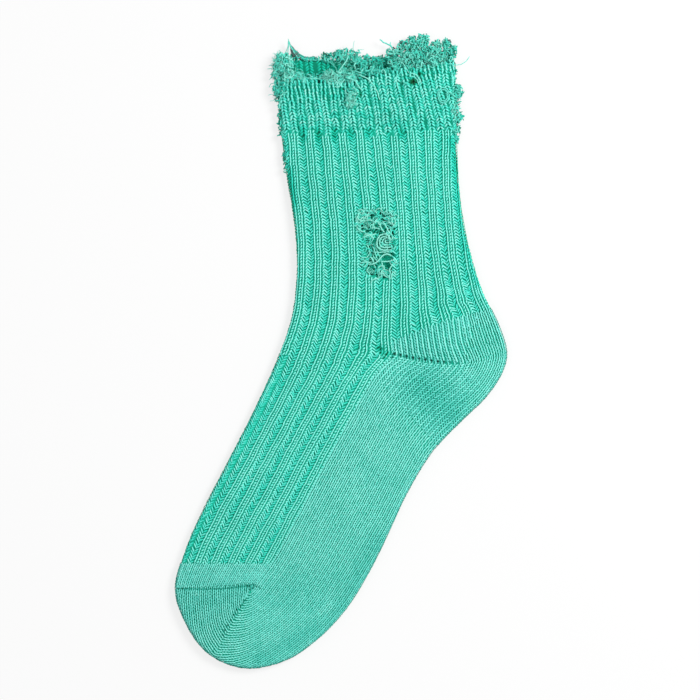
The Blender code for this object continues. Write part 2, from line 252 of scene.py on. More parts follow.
def ring_row(columns, fold, pivots, fold_point, side_point, middle, evened):
    """Plan place, signed cloth length from the fold and the way out over the fold, along one line.

    evened is how far the line is drawn by its middle wale, from 0, evenly spread, to 1."""
    t = np.linspace(0, 1, LINE_STEPS + 1)[:, None]
    near = length_of(middle - fold_point)
    m = near / (near + length_of(side_point - middle))
    control = (middle - fold_point * (1 - m) ** 2 - side_point * m**2) / (2 * m * (1 - m))
    line = fold_point * (1 - t) ** 2 + control * 2 * t * (1 - t) + side_point * t**2
    run = runs_of(line)
    spare = (math.pi / 2 - 1) * ROLL
    cloth = run[-1] + spare
    to_upper, to_lower = (abs(pivot - fold) for pivot in pivots)
    upper = (columns - fold) * (pivots[0] - fold) >= 0
    away = np.abs(columns - fold)
    even = cloth * away / np.where(upper, to_upper, to_lower)
    drawn_middle = np.interp(m, t[:, 0], run) + spare
    drawn = np.interp(away, (0, MIDDLE_WALES, to_upper), (0, drawn_middle, cloth))
    length = even * (1 - evened) + drawn * evened
    rolled = ROLL * (1 - np.cos(np.minimum(length, QUARTER) / ROLL))
    plan = np.minimum(np.where(length < QUARTER, rolled, length - QUARTER + ROLL), run[-1])
    x = np.interp(plan, run, line[:, 0])
    y = np.interp(plan, run, line[:, 1])
    out = unit(fold_point - line[OUT_STEP])
    signed = np.where(upper, length, -length)
    return np.stack([x, y, signed, np.full_like(x, out[0]), np.full_like(x, out[1])], axis=-1)


def flow(places, values, at):
    """Values between stations, with no corner where they meet (cubic Hermite)."""
    values = np.asarray(values, float)
    gap = np.diff(places)[:, None]
    slope = np.diff(values, axis=0) / gap
    turn = np.empty_like(values)
    turn[0], turn[-1] = slope[0], slope[-1]
    turn[1:-1] = (slope[1:] * gap[:-1] + slope[:-1] * gap[1:]) / (gap[:-1] + gap[1:])
    i = np.clip(np.searchsorted(places, at, side="right") - 1, 0, len(places) - 2)
    h = gap[i]
    t = ((at - places[i]) / h[:, 0])[:, None]
    return (
        values[i] * (2 * t**3 - 3 * t**2 + 1)
        + turn[i] * h * (t**3 - 2 * t**2 + t)
        + values[i + 1] * (3 * t**2 - 2 * t**3)
        + turn[i + 1] * h * (t**3 - t**2)
    )


def kinked(places, values, at, corners):
    """As flow(), but with a corner at some stations."""
    cuts = [0, *corners, len(places) - 1]
    found = np.empty((len(at), np.shape(values)[1]))
    for a, b in zip(cuts, cuts[1:]):
        mask = (at >= places[a]) & (at <= places[b])
        found[mask] = flow(places[a : b + 1], values[a : b + 1], at[mask])
    return found


front_dense = smooth_line(FRONT_EDGE, DENSE_STEPS)
outline_dense = smooth_line(BACK_EDGE + FRONT_EDGE[-2:0:-1], DENSE_STEPS)
front_run, outline_run = runs_of(front_dense), runs_of(outline_dense)
FRONT_COLUMNS = np.linspace(-SIDE, SIDE, 2 * SIDE * SAMPLES + 1)
BACK_COLUMNS = np.linspace(SIDE, UNDER_SIDE, 2 * SIDE * SAMPLES + 1)


def place_on(line, run, x, y):
    return run[np.argmin(np.hypot(line[:, 0] - x, line[:, 1] - y))]


def point_on(line, run, place):
    return np.stack([np.interp(place, run, line[:, 0]), np.interp(place, run, line[:, 1])], axis=-1)


def eased(line, reach):
    """The line with its corners rounded off over a reach to each side."""
    run = runs_of(line)
    reach = np.minimum(reach, np.minimum(run, run[-1] - run))[:, None]
    return point_on(line, run, run[:, None] + reach * np.linspace(-1, 1, 25)).mean(axis=1)


def lay_out():
    """Grid rows of both halves of the ring, and the row of each station."""
    names = [row[0] for row in STATIONS + TOE]
    side = np.array([row[3:5] for row in STATIONS] + [row[1:3] for row in TOE], float)
    back_ends = [row[5:7] for row in STATIONS] + [row[3:5] for row in TOE]
    back_at = np.array([place_on(outline_dense, outline_run, *end) for end in back_ends])[:, None]
    back_fold = np.array([row[-1] for row in STATIONS + TOE], float)[:, None]
    back_point = point_on(outline_dense, outline_run, back_at[:, 0])
    moved = length_of(np.diff(side, axis=0)) + length_of(np.diff(back_point, axis=0))
    places = np.concatenate([[0], np.cumsum(moved / 2)])
    middles = []
    for name, s, b in zip(names, side, back_point):
        if name in MIDDLE:
            middles.append((*MIDDLE[name], 1.0))
        else:
            middles.append((*(b + (s - b) * MIDDLE_WALES / SIDE), 0.0))
    middles = np.array(middles)
    at = [places[0]]
    station_rows = {names[0]: 0}
    for i in range(len(places) - 1):
        far = max(length_of(side[i + 1] - side[i]), abs(back_at[i + 1, 0] - back_at[i, 0]))
        count = max(2, int(round(far / ROW)))
        at.extend(places[i] + (places[i + 1] - places[i]) * (np.arange(count) + 1) / count)
        station_rows[names[i + 1]] = len(at) - 1
    at = np.array(at)
    corners = [names.index(name) for name in CORNERS]
    side_rows = kinked(places, side, at, corners)
    middle_rows = kinked(places, middles, at, corners)
    back_rows = point_on(outline_dense, outline_run, flow(places, back_at, at)[:, 0])
    fold_rows = kinked(places, back_fold, at, corners)[:, 0]
    back_grid = np.array([
        ring_row(BACK_COLUMNS, fold, (SIDE, UNDER_SIDE), b, s, m[:2], np.clip(m[2], 0, 1))
        for fold, b, s, m in zip(fold_rows, back_rows, side_rows, middle_rows)
    ])
    count = station_rows["toe_seam"] + 1
    last = len(STATIONS)
    front_at = np.array([place_on(front_dense, front_run, *row[1:3]) for row in STATIONS])[:, None]
    front_fold = np.array([row[7] for row in STATIONS], float)[:, None]
    front_rows = point_on(front_dense, front_run, flow(places[:last], front_at, at[:count])[:, 0])
    folds = flow(places[:last], front_fold, at[:count])[:, 0]
    near_side = smooth_step((np.abs(FRONT_COLUMNS) - BEND_FROM) / BEND_OVER)[None, :, None]
    sharp, soft = [
        np.array([
            ring_row(FRONT_COLUMNS, fold, (SIDE, -SIDE), f, s, (f + s) / 2, 0.0)
            for fold, f, s in zip(folds, front_rows, line)
        ])
        for line in (side_rows[:count], eased(side_rows[:count], SOFT_BEND))
    ]
    front_grid = sharp * near_side + soft * (1 - near_side)
    return front_grid, back_grid, station_rows


class Panel:
    """Half of the sock's ring: a grid of points and normals, rows from cuff to toe."""

    def __init__(self, columns, grid, knot_rows):
        self.knot_rows = knot_rows
        self.columns = columns
        plan = grid[..., :2]
        lean = np.clip(grid[..., 2] / ROLL, -math.pi / 2, math.pi / 2)
        out = unit(grid[..., 3:5])
        depth = distance_to(plan, OUTLINE)
        extra = CROWN * smooth_step(depth / CROWN_REACH)
        mouth = (plan[..., 1] - MOUTH_START) / MOUTH_RISE
        extra = extra + MOUTH_LIFT * smooth_step(mouth) * smooth_step(depth / MOUTH_REACH)
        relief = np.zeros_like(depth)
        for x0, y0, x1, y1, reach, height in RELIEF:
            away = distance_to(plan, np.array([(x0, y0), (x1, y1)]))
            relief += height * smooth_step(1 - away / reach)
        extra = extra + relief * smooth_step(depth / CROWN_REACH * 2)
        self.upper = lean > 0
        z = MID + ROLL * np.sin(lean) + np.where(self.upper, extra, 0.0)
        self.points = np.concatenate([plan, z[..., None]], axis=-1)
        self.normals = np.concatenate([out * np.cos(lean)[..., None], np.sin(lean)[..., None]], axis=-1)
        gaps = length_of(np.diff(self.points, axis=0))
        self.arc = np.concatenate([np.zeros((1, gaps.shape[1])), np.cumsum(gaps, axis=0)])

    def sample(self, wale, row):
        """Points and normals at any wale and row."""
        rows, cols = self.arc.shape
        c = np.clip((wale - self.columns[0]) * SAMPLES, 0, cols - 1.001)
        r = np.clip(row, 0, rows - 1.001)
        ci, ri = c.astype(int), r.astype(int)
        cf, rf = (c - ci)[..., None], (r - ri)[..., None]
        found = []
        for grid in (self.points, self.normals):
            top = grid[ri, ci] * (1 - cf) + grid[ri, ci + 1] * cf
            low = grid[ri + 1, ci] * (1 - cf) + grid[ri + 1, ci + 1] * cf
            found.append(top * (1 - rf) + low * rf)
        return found

    def skew(self, wale, row):
        """Rows down per wale across that keep a stitch square to its wale where the grid is sheared."""
        across = self.sample(wale + 0.5, row)[0] - self.sample(wale - 0.5, row)[0]
        along = (self.sample(wale, row + 2)[0] - self.sample(wale, row - 2)[0]) / 4
        size = np.maximum(length_of(along), 1e-3)
        return np.clip(-(across * along).sum(axis=-1) / size, -SKEW_LIMIT, SKEW_LIMIT) / size

    def stitches(self, start, end, shared=True):
        """(wale, row, rows to a course) of every stitch between two stations.

        shared: every wale's rows are spaced by the one shared length, not by its own."""
        r0, r1 = self.knot_rows[start], self.knot_rows[end]
        numbers = np.arange(r0, r1 + 1)
        found = [np.zeros((0, 3))]
        for wale in np.arange(self.columns[0], self.columns[-1]) + 0.5:
            column = int(round((wale - self.columns[0]) * SAMPLES))
            arc = (self.shared_arc if shared else self.arc[:, column])[r0 : r1 + 1]
            long = arc[-1] - arc[0]
            count = int(round(long / COURSE))
            if count < 1:
                continue
            places = arc[0] + (np.arange(count) + 0.5) * long / count
            rows = np.interp(places, arc, numbers)
            before = np.interp(places - 0.5 * long / count, arc, numbers)
            after = np.interp(places + 0.5 * long / count, arc, numbers)
            found.append(np.stack([np.full(count, wale), rows, after - before], axis=-1))
        return np.concatenate(found)

    def places(self, stitches):
        return self.sample(stitches[:, 0], stitches[:, 1])[0]

    def in_upper(self, stitches):
        """Whether each stitch is in the upper layer."""
        column = np.round((stitches[:, 0] - self.columns[0]) * SAMPLES).astype(int)
        return self.upper[np.round(stitches[:, 1]).astype(int), column]


front_grid, back_grid, station_rows = lay_out()
front = Panel(FRONT_COLUMNS, front_grid, station_rows)
back = Panel(BACK_COLUMNS, back_grid, station_rows)
# Both halves' courses meet at the sides, so they share one length down the knit.
upper_columns = (front.columns > 0) & (front.columns < SIDE)
front.shared_arc = front.arc[:, upper_columns].mean(axis=1)
rows_more = len(back.arc) - len(front.arc)
back.shared_arc = np.concatenate([front.shared_arc, np.full(rows_more, front.shared_arc[-1])])

# ---- wear of the upper layer, and the painted shade that goes with it ----
# Small holes and pinched places, with painted shade in them: x, y, reach x, reach y, drop, how much painted
# shade darkens them
SPOTS = (
    (26.5, -0.9, 0.87, 0.81, 0.1, 0.97), (29.7, -1.5, 0.82, 0.76, 0.1, 0.93),
    (32.8, -2.2, 0.92, 0.81, 0.1, 0.97), (36, -2.8, 0.92, 0.81, 0.1, 0.97),
    (39.1, -3.2, 0.82, 0.76, 0.1, 0.88), (42.3, -3.6, 0.92, 0.81, 0.1, 0.97),
    (45.4, -4.2, 0.87, 0.81, 0.1, 0.93), (48.6, -4.7, 0.82, 0.76, 0.1, 0.93),
    (51.8, -4.9, 0.82, 0.76, 0.1, 0.83), (55.1, -5.1, 0.77, 0.71, 0.1, 0.73),
    (58.3, -5.5, 0.72, 0.66, 0.1, 0.63), (18.5, 2, 0.92, 0.76, 0.1, 0.93), (20.3, 1.7, 0.77, 0.71, 0.1, 0.83),
    (19.7, -0.4, 0.87, 0.76, 0.1, 0.88), (22.6, -1.3, 0.92, 0.76, 0.1, 0.93),
    (23.4, -0.4, 0.72, 0.66, 0.1, 0.78), (21.5, -2.9, 0.82, 0.71, 0.1, 0.78),
    (25.5, -2.7, 0.77, 0.71, 0.1, 0.73), (-48.6, -124.2, 0.63, 0.55, 0.1, 0.72),
    (-50.1, -126.7, 0.59, 0.55, 0.1, 0.72), (-52.1, -128.6, 0.63, 0.55, 0.1, 0.72),
    (-53.6, -131.3, 0.59, 0.55, 0.1, 0.72), (-55.1, -134, 0.59, 0.55, 0.1, 0.72),
    (-56.8, -136.6, 0.59, 0.55, 0.1, 0.72), (-58.2, -139, 0.55, 0.51, 0.1, 0.72),
    (-59, -141.4, 0.55, 0.51, 0.1, 0.68), (-19, 108.6, 1.6, 4.4, 0.2, 0.42),
    (-11.5, 108.6, 1.6, 4.4, 0.2, 0.45), (-3.5, 108.8, 1.6, 4, 0.2, 0.42), (4.6, 109.2, 1.6, 3.4, 0.2, 0.34),
    (13, 109.4, 1.6, 3, 0.2, 0.3), (30, 109.4, 1.6, 3, 0.2, 0.3), (36, 135, 2, 1.9, 0.3, 0.97),
    (35.1, 141.1, 1.2, 0.9, 0.2, 0.93), (38.2, 143.2, 1.3, 0.7, 0.2, 0.93),
    (39.2, 138.9, 1.3, 1.2, 0.2, 0.93), (-33, 130.4, 1, 1.2, 0.2, 0.88), (-30.6, 127.4, 1.1, 1.3, 0.2, 0.88),
    (9.6, 128.4, 0.9, 1.5, 0.2, 0.78), (0.8, 131.4, 0.8, 0.8, 0.2, 0.88), (-46.4, -117, 1.3, 0.4, 0.1, 0.7),
    (-44, -117.9, 0.7, 0.6, 0.1, 0.75), (-45.4, -118.6, 0.9, 0.36, 0.1, 0.6),
)
# Seams, folds, creases and broad patches of painted shade: x0, y0, x1, y1, reach, drop, how much painted
# shade darkens them
LINES = (
    (-82.6, -118.2, -70, -118.5, 0.42, 0.15, 0.8), (-70, -118.5, -58.6, -118.3, 0.42, 0.15, 0.8),
    (-58.6, -118.3, -50.9, -117.3, 0.42, 0.15, 0.8), (-50.9, -117.3, -43.4, -116.2, 0.42, 0.15, 0.8),
    (-30.6, 108, -28, 92, 1, 0, 0.4), (-26.6, 90, -24.6, 74, 2.3, 0, 0.66),
    (-24.8, 74, -22.8, 56, 1.2, 0, 0.6), (-22.8, 56, -22.2, 38, 0.8, 0, 0.5),
    (55.6, 106, 58.4, 84, 2.2, 0.1, 0.46), (58.4, 84, 63.4, 52, 2, 0.1, 0.44),
    (63.4, 52, 68.4, 34, 1.6, 0, 0.36), (40, -18, 54, -30, 11, 0, 0.3), (20, -94, -4, -134, 6, 0, 0.18),
    (-4, -134, -40, -154, 6, 0, 0.18), (-76, -122, 0, -118, 12, 0, 0.12),
)


def wear_and_shade_at(place):
    """How far the knit drops, and how much painted shade darkens it, at plan places."""
    drop = np.zeros(place.shape[:-1])
    dark = np.zeros(place.shape[:-1])
    for x, y, reach_x, reach_y, low, deep in SPOTS:
        near = np.exp(-((((place[..., 0] - x) / reach_x) ** 2 + ((place[..., 1] - y) / reach_y) ** 2) ** 2))
        drop += low * near
        dark = np.maximum(dark, 1 - (1 - deep * near) ** 2)
    for x0, y0, x1, y1, reach, low, deep in LINES:
        run = np.array((x1 - x0, y1 - y0))
        off = place[..., :2] - (x0, y0)
        along = np.clip(off @ run / (run @ run), 0, 1)
        away = length_of(off - along[..., None] * run)
        near = np.exp(-((away / reach) ** 2))
        drop += low * near
        dark = np.maximum(dark, deep * near)
    return drop, dark


# ---- meshes ----
# Where the tone paints shade deeper in the knit, the colour grows more saturated, so red falls first.
RIB_FALL = (4.0, 0.42, 0.62)
PLAIN_FALL = (2.2, 0.66, 0.76)
GREY_FALL = (0.42, 1.15, 1.05)
LOOSE_FALL = (4.2, 0.66, 0.80)
HOLE_FALL = (5.4, 0.38, 0.54)
TONE_RANGE = (0.002, 1.06)
# How much, how fast and from what slope painted shade darkens the yarn where the cloth folds round
FOLD_SHADE, FOLD_POWER, FOLD_START, FOLD_SLOPE = 0.62, 1.8, 1.15, 1.2
EDGE_SHADE = 0.44  # painted shade: how much a strand darkens towards its sides
ACROSS = 3  # points across a stroke
ROUND = 0.97  # how near a stroke's section is to half a circle


def add_mesh(name, points, faces, material, tone_and_shade, fall):
    """One object from arrays of points in millimetres and of faces."""
    mesh = bpy.data.meshes.new(name)
    faces = np.asarray(faces, np.int32)
    corners = faces.shape[1]
    mesh.vertices.add(len(points))
    mesh.vertices.foreach_set("co", (np.asarray(points, np.float64) * MM).astype(np.float32).ravel())
    mesh.loops.add(faces.size)
    mesh.loops.foreach_set("vertex_index", faces.ravel())
    mesh.polygons.add(len(faces))
    mesh.polygons.foreach_set("loop_start", np.arange(0, faces.size, corners, dtype=np.int32))
    mesh.polygons.foreach_set("use_smooth", np.full(len(faces), True))
    mesh.update(calc_edges=True)
    # The tone attribute holds random tone and painted shade, and painted highlight where it is over 1.
    layer = mesh.attributes.new("tone_and_shade", "FLOAT_COLOR", "POINT")
    values = np.ones((len(points), 4), np.float32)
    values[:, :3] = np.clip(tone_and_shade, *TONE_RANGE)[:, None] ** fall
    layer.data.foreach_set("color", values.ravel())
    mesh.materials.append(material)
    piece = add_object(name, mesh)
    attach(piece, "root")
    return piece


def strips(index, beside):
    """Faces between the points along each path and those beside them, from their numbers."""
    return np.stack([index[:, :-1], beside[:, :-1], beside[:, 1:], index[:, 1:]], axis=-1).reshape(-1, 4)


def strokes_mesh(panel, stitches, u, v, h, half, tone_and_shade, inner):
    """Half-tube strokes along paths [n, m]: u in wales, v in courses, h and half the width in millimetres."""
    n, m = u.shape
    wale, row, per = stitches.T
    skew = panel.skew(wale, row)[:, None]
    point, normal = panel.sample(wale[:, None] + u, row[:, None] + v * per[:, None] + u * skew)
    if inner:
        point = point - normal * inner
        normal = -normal
    centre = point + normal * h[..., None]
    along = np.gradient(centre, axis=1)
    side = unit(np.cross(normal, along))
    rows = []
    tones = []
    for a in np.linspace(-1, 1, ACROSS):
        drop = 1 - np.sqrt(max(0.0, 1 - a * a * ROUND))
        rows.append(centre + side * (half * a)[..., None] - normal * (half * drop)[..., None])
        tones.append(tone_and_shade * (1.0 - EDGE_SHADE * abs(a)))
    points = np.stack(rows, axis=2)
    tones = np.stack(tones, axis=2)
    if not inner:
        # Painted shade: darker in the holes, seams, creases and broad shaded patches, and where the cloth
        # folds round.
        drop, dark = wear_and_shade_at(points)
        facing = np.clip(normal[:, :, None, 2], 0, 1)
        points = points - normal[:, :, None] * (drop * facing)[..., None]
        fold = smooth_step(FOLD_START - FOLD_SLOPE * np.abs(facing))
        tones = tones * (1 - dark * facing) * (1 - FOLD_SHADE * fold) ** FOLD_POWER
    index = np.arange(n * m * ACROSS).reshape(n, m, ACROSS)
    return points.reshape(-1, 3), strips(index[..., :-1], index[..., 1:]), tones.reshape(-1)


def join(parts):
    """One mesh's points, faces and tones from many."""
    starts = np.cumsum([0] + [len(p) for p, _, _ in parts])
    points = np.concatenate([p for p, _, _ in parts])
    faces = np.concatenate([f + start for (_, f, _), start in zip(parts, starts)])
    return points, faces, np.concatenate([t for _, _, t in parts])


# One stroke of each stitch: from, middle and to, in wales across and courses down, the
# height of its start, middle and end over the crest line, its half width in
# millimetres, how much it thins to its ends, and its painted shade and highlight at the start, middle and
# end.
# kind: (u0, v0, u1, v1, u2, v2, h0, h1, h2, half, taper, s0, s1, s2)
STROKES = {
    "knit": (
        (-0.44, -0.58, -0.28, 0, -0.08, 0.58, -0.54, -0.06, -0.24, 0.36, 0.5, 0.64, 0.9, 0.86),
        (0.4, -0.62, 0.22, 0, 0.05, 0.62, -0.44, 0.08, -0.12, 0.44, 0.5, 0.8, 1.06, 1),
    ),
    "plain": (
        (-0.36, -0.62, -0.27, 0, -0.16, 0.62, -0.36, -0.04, -0.22, 0.35, 0.55, 0.72, 1, 0.9),
        (0.36, -0.62, 0.24, 0, 0.14, 0.62, -0.3, 0.06, -0.12, 0.38, 0.5, 0.84, 1.06, 0.98),
    ),
    "heel": (
        (-0.4, -0.6, -0.28, 0, -0.12, 0.6, -0.46, -0.1, -0.26, 0.44, 0.5, 0.52, 0.8, 0.78),
        (0.26, -0.66, 0.18, 0, 0.1, 0.64, -0.12, 0.12, 0, 0.48, 0.3, 0.92, 1.02, 0.97),
    ),
    "rib_left": (
        (-0.47, -0.66, -0.5, 0, -0.45, 0.66, -0.08, 0.14, -0.06, 0.38, 0.55, 0.9, 1.16, 0.98),
        (0.4, -0.52, 0.22, 0, -0.04, 0.52, -0.5, -0.04, -0.34, 0.46, 0.85, 0.5, 1.1, 0.78),
    ),
    "rib_right": (
        (-0.18, -0.66, -0.25, 0, -0.22, 0.66, -0.06, 0.16, -0.04, 0.38, 0.55, 0.9, 1.16, 0.98),
        (0.64, -0.52, 0.5, 0, 0.22, 0.52, -0.46, 0, -0.32, 0.46, 0.85, 0.54, 1.12, 0.8),
    ),
    "purl_left": ((-0.5, -0.6, 0.02, 0, 0.52, 0.64, -0.46, -0.28, -0.5, 0.4, 0.45, 0.9, 0.97, 0.76),),
    "purl_right": ((0.44, -0.6, -0.04, 0, -0.52, 0.64, -0.76, -0.44, -0.5, 0.38, 0.45, 0.34, 0.74, 0.84),),
    "cuff": (
        (-0.1, -0.62, -0.5, 0, -0.86, 0.54, -0.1, 0.04, -0.6, 0.5, 0.45, 0.72, 0.98, 0.48),
        (0.1, -0.62, 0.5, 0, 0.82, 0.54, -0.1, 0.04, -0.6, 0.5, 0.45, 0.7, 0.94, 0.36),
    ),
    "cuff_worn": (
        (-0.34, -0.62, -0.5, 0, -0.62, 0.6, -0.14, 0.04, -0.36, 0.54, 0.55, 0.66, 0.98, 0.58),
        (0.34, -0.62, 0.5, 0, 0.62, 0.6, -0.14, 0.04, -0.36, 0.54, 0.55, 0.62, 0.94, 0.5),
    ),
    "cuff_gap": ((-0.1, -0.36, 0.14, 0.08, 0.44, 0.44, -0.66, -0.5, -0.62, 0.3, 0.4, 0.36, 0.66, 0.46),),
}
RIBS, RIB_OFFSET = 200, 40  # more ribs than the sock has, and a shift that keeps their numbers over 0
SWAY = rng.uniform(0, 2 * math.pi, RIBS)  # where in its wandering each rib starts
HEM_DEPTH = rng.choice((0.0, 0.0, 1.6, 1.6, 3.1), RIBS)  # how far the cuff's rib runs on down
UNEVEN = 2.2  # how many times less even the purl and cuff stitches are, and the cuff's wales
GROW_SPREAD, SHIFT_SPREAD, LIFT_SPREAD, SHADE_SPREAD = 0.05, 0.03, 0.035, 0.045
WAVES = ((0.06, 7.0, 1), (0.04, 2.7, 2))  # how a rib wanders: wales, millimetres, times its sway
RIM_SPREAD, HOLE_SPREAD = 0.5, 0.4  # how unevenly the stitches end there


def wale_number(stitches):
    return np.floor(stitches[:, 0]).astype(int)


def rib_number(stitches):
    return (wale_number(stitches) + 1) // 2 + RIB_OFFSET


def stitch_parts(panel, stitches, kind, along=4, inner=0.0, dim=1.0):
    """Strokes of every stitch, of so many points along.

    inner lays them on the cloth's inner face, that far in, and dim darkens them with painted shade."""
    parts = []
    n = len(stitches)
    if not n:
        return parts
    t = np.linspace(0, 1, along)[None]

    def varied(centre, spread):
        return centre + rng.normal(0, spread, (n, 1))

    def path(a, b, c):
        control = 2 * b - (a + c) / 2
        return a * (1 - t) ** 2 + 2 * control * t * (1 - t) + c * t**2

    looseness = UNEVEN if kind.startswith(("purl", "cuff")) else 1.0
    grow = varied(1, GROW_SPREAD)
    nudge = varied(0, SHIFT_SPREAD * looseness)
    if kind.startswith(("rib", "purl", "cuff")):
        sway = SWAY[rib_number(stitches)][:, None]
        long = stitches[:, 1:2] * ROW
        wander = UNEVEN if kind.startswith("cuff") else 1.0
        nudge = nudge + wander * sum(size * np.sin(long / wave + times * sway) for size, wave, times in WAVES)
    lift = varied(0, LIFT_SPREAD * looseness)
    shade_all = dim * varied(1, SHADE_SPREAD * looseness)
    for u0, v0, u1, v1, u2, v2, h0, h1, h2, half, taper, *shades in STROKES[kind]:
        u = path(u0, u1, u2) + nudge
        v = path(v0, v1, v2) + varied(0, SHIFT_SPREAD * looseness)
        h = path(h0, h1, h2) + lift
        width = half * grow * (1 - taper * np.abs(2 * t - 1) ** 2)
        parts.append(strokes_mesh(panel, stitches, u, v, h, width, shade_all * path(*shades), inner))
    return parts


def whole_stitches(panel, *stretch):
    """The panel's stitches in a stretch, without those past the torn rims and in the hole."""
    stitches = panel.stitches(*stretch)
    place = panel.places(stitches)
    upper = panel.in_upper(stitches)
    rim = rim_height(place[:, 0], upper) + rng.normal(0, RIM_SPREAD, len(place))
    keep = place[:, 1] < rim
    keep &= ~(upper & inside(place[:, :2] + rng.normal(0, HOLE_SPREAD, (len(place), 2)), HOLE))
    return stitches[keep]


# ---- materials ----
def set_inputs(tree, node, inputs):
    """Gives each input its value or the socket that feeds it."""
    for socket, value in inputs.items():
        if isinstance(value, bpy.types.NodeSocket):
            tree.links.new(value, node.inputs[socket])
        else:
            node.inputs[socket].default_value = value


def add_node(tree, kind, inputs, **settings):
    node = tree.nodes.new("ShaderNode" + kind)
    for name, value in settings.items():
        setattr(node, name, value)
    set_inputs(tree, node, inputs)
    return node


def new_material(name, colour, dark, sheen=0.25):
    """Plied cotton: its colour varies softly from place to place and from ply to ply."""
    material = bpy.data.materials.new(name)
    material.use_nodes = True
    tree = material.node_tree
    where = add_node(tree, "TexCoord", {}).outputs["Object"]
    broad = add_node(tree, "TexNoise", {"Vector": where, "Scale": 55.0, "Detail": 3.0}).outputs["Fac"]
    plies = add_node(tree, "TexNoise", {"Vector": where, "Scale": 2600.0, "Detail": 2.0}).outputs["Fac"]
    both = add_node(tree, "Math", {0: broad, 1: plies}, operation="ADD").outputs["Value"]
    ramp = add_node(tree, "MapRange", {"Value": both, "From Min": 0.62, "From Max": 1.32})
    colours = {"Factor": ramp.outputs["Result"], "A": dark, "B": colour}
    mixed = add_node(tree, "Mix", colours, data_type="RGBA").outputs["Result"]
    # The colour is darkened by the tone attribute: random tone and painted shade.
    tone_and_shade = add_node(tree, "Attribute", {}, attribute_name="tone_and_shade").outputs["Color"]
    darkened = {"Factor": 1.0, "A": mixed, "B": tone_and_shade}
    shaded = add_node(tree, "Mix", darkened, data_type="RGBA", blend_type="MULTIPLY")
    bump = add_node(tree, "Bump", {"Strength": 0.6, "Distance": 0.00006, "Height": plies})
    set_inputs(tree, tree.nodes["Principled BSDF"], {
        "Roughness": 0.95,
        "Specular IOR Level": 0.12,
        "Sheen Weight": sheen,
        "Sheen Roughness": 0.6,
        "Sheen Tint": srgb(190, 245, 232),
        "Base Color": shaded.outputs["Result"],
        "Normal": bump.outputs["Normal"],
    })
    return material


YARN = new_material("mint_knit_yarn", srgb(158, 249, 236), srgb(130, 239, 224))
CUFF_YARN = new_material("mint_cuff_yarn", srgb(166, 247, 235), srgb(138, 237, 223))
# The cloth under the stitches is a darker green: painted shade in the gaps between them.
SHADED_GROUND = new_material("mint_knit_ground_shaded", srgb(20, 178, 148), srgb(13, 152, 124), sheen=0.1)
LOOSE = new_material("mint_loose_yarn", srgb(134, 236, 218), srgb(104, 218, 199), sheen=0.35)

# ---- the base sheet: the cloth wall under the stitches ----
BASE_DEPTH, BASE_WALL = 0.75, 0.8
RIB_SINK, RIB_HALF, RIB_SLOPE = 0.45, 1.05, 0.5  # drop, then wales from mid rib to its edge and down it
BASE_SHORT = 0.4  # the sheet stops this far below the torn rim
CUFF_SHADE, CUFF_SHADE_FROM, CUFF_SHADE_OVER = 0.52, 109.0, 4.0  # painted shade: the sheet is darker under the cuff


def rib_sink(wale, ribbed):
    """How far the cloth drops between the ribs, of which there is one to every four wales."""
    phase = np.abs((wale + 2) % 4 - 2)
    return np.where(ribbed, RIB_SINK * smooth_step((phase - RIB_HALF) / RIB_SLOPE), 0.0)


def base_sheet():
    """Points and faces of the sheet, without the worn-away rim and hole."""
    points, faces = [], []
    total = 0
    for panel, ribs_end in ((front, "ribs_end"), (back, "heel_start")):
        last = len(panel.arc) - 1
        rows = np.unique(np.concatenate([np.arange(0, last, 2), [last, panel.knot_rows["gore"]]]))
        cols = np.arange(0, panel.arc.shape[1], SAMPLES // 2)
        normal = panel.normals[np.ix_(rows, cols)]
        ribbed = ((rows > panel.knot_rows["cuff_base"]) & (rows < panel.knot_rows[ribs_end]))[:, None]
        sink = BASE_DEPTH + rib_sink(panel.columns[cols][None], ribbed)
        grid = panel.points[np.ix_(rows, cols)] - normal * sink[..., None]
        centre = (grid[:-1, :-1] + grid[1:, 1:]) / 2
        upper = (normal[:-1, :-1, 2] + normal[1:, 1:, 2]) > 0
        keep = centre[..., 1] < rim_height(centre[..., 0], upper) - BASE_SHORT
        keep &= ~(upper & inside(centre[..., :2], HOLE))
        ids = np.arange(grid[..., 0].size).reshape(len(rows), len(cols)) + total
        sides = np.stack([ids[:-1, :-1], ids[1:, :-1], ids[1:, 1:], ids[:-1, 1:]], axis=-1)
        points.append(grid.reshape(-1, 3))
        faces.append(sides[keep])
        total += ids.size
    used, faces = np.unique(np.concatenate(faces), return_inverse=True)
    return np.concatenate(points)[used], faces.reshape(-1, 4)


sheet_points, sheet_faces = base_sheet()
# Painted shade on the sheet: the same darkening as the stitches, and more under the cuff.
shade = np.where(sheet_points[:, 2] > MID, 1 - wear_and_shade_at(sheet_points)[1], 1.0)
shade *= 1 - CUFF_SHADE * smooth_step((sheet_points[:, 1] - CUFF_SHADE_FROM) / CUFF_SHADE_OVER)
sheet = add_mesh("sock_cloth", sheet_points, sheet_faces, SHADED_GROUND, shade, PLAIN_FALL)
weld = sheet.modifiers.new("weld", "WELD")
weld.merge_threshold = 0.00002
wall = sheet.modifiers.new("wall", "SOLIDIFY")
wall.thickness = BASE_WALL * MM
wall.offset = -1.0
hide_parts("knit_tube")

# ---- the stitches ----
HEM = 111.6  # foot of the cuff's 1x1 rib
WORN_HEIGHT, WORN_SPREAD = 125.5, 1.5  # over this the cuff's stitches have lost their shape
WORN_RISE, RISE_FROM, RISE_OVER = 11.0, 2.0, 14.0  # and more of the cuff is whole towards the back
RUN_OFF, RUN_OFF_UNDER = (-2, 1), -2.0  # under this height these wales of the instep are all purl
FLAT_SPREAD = 3.0  # how unevenly the heel's knit turns plain
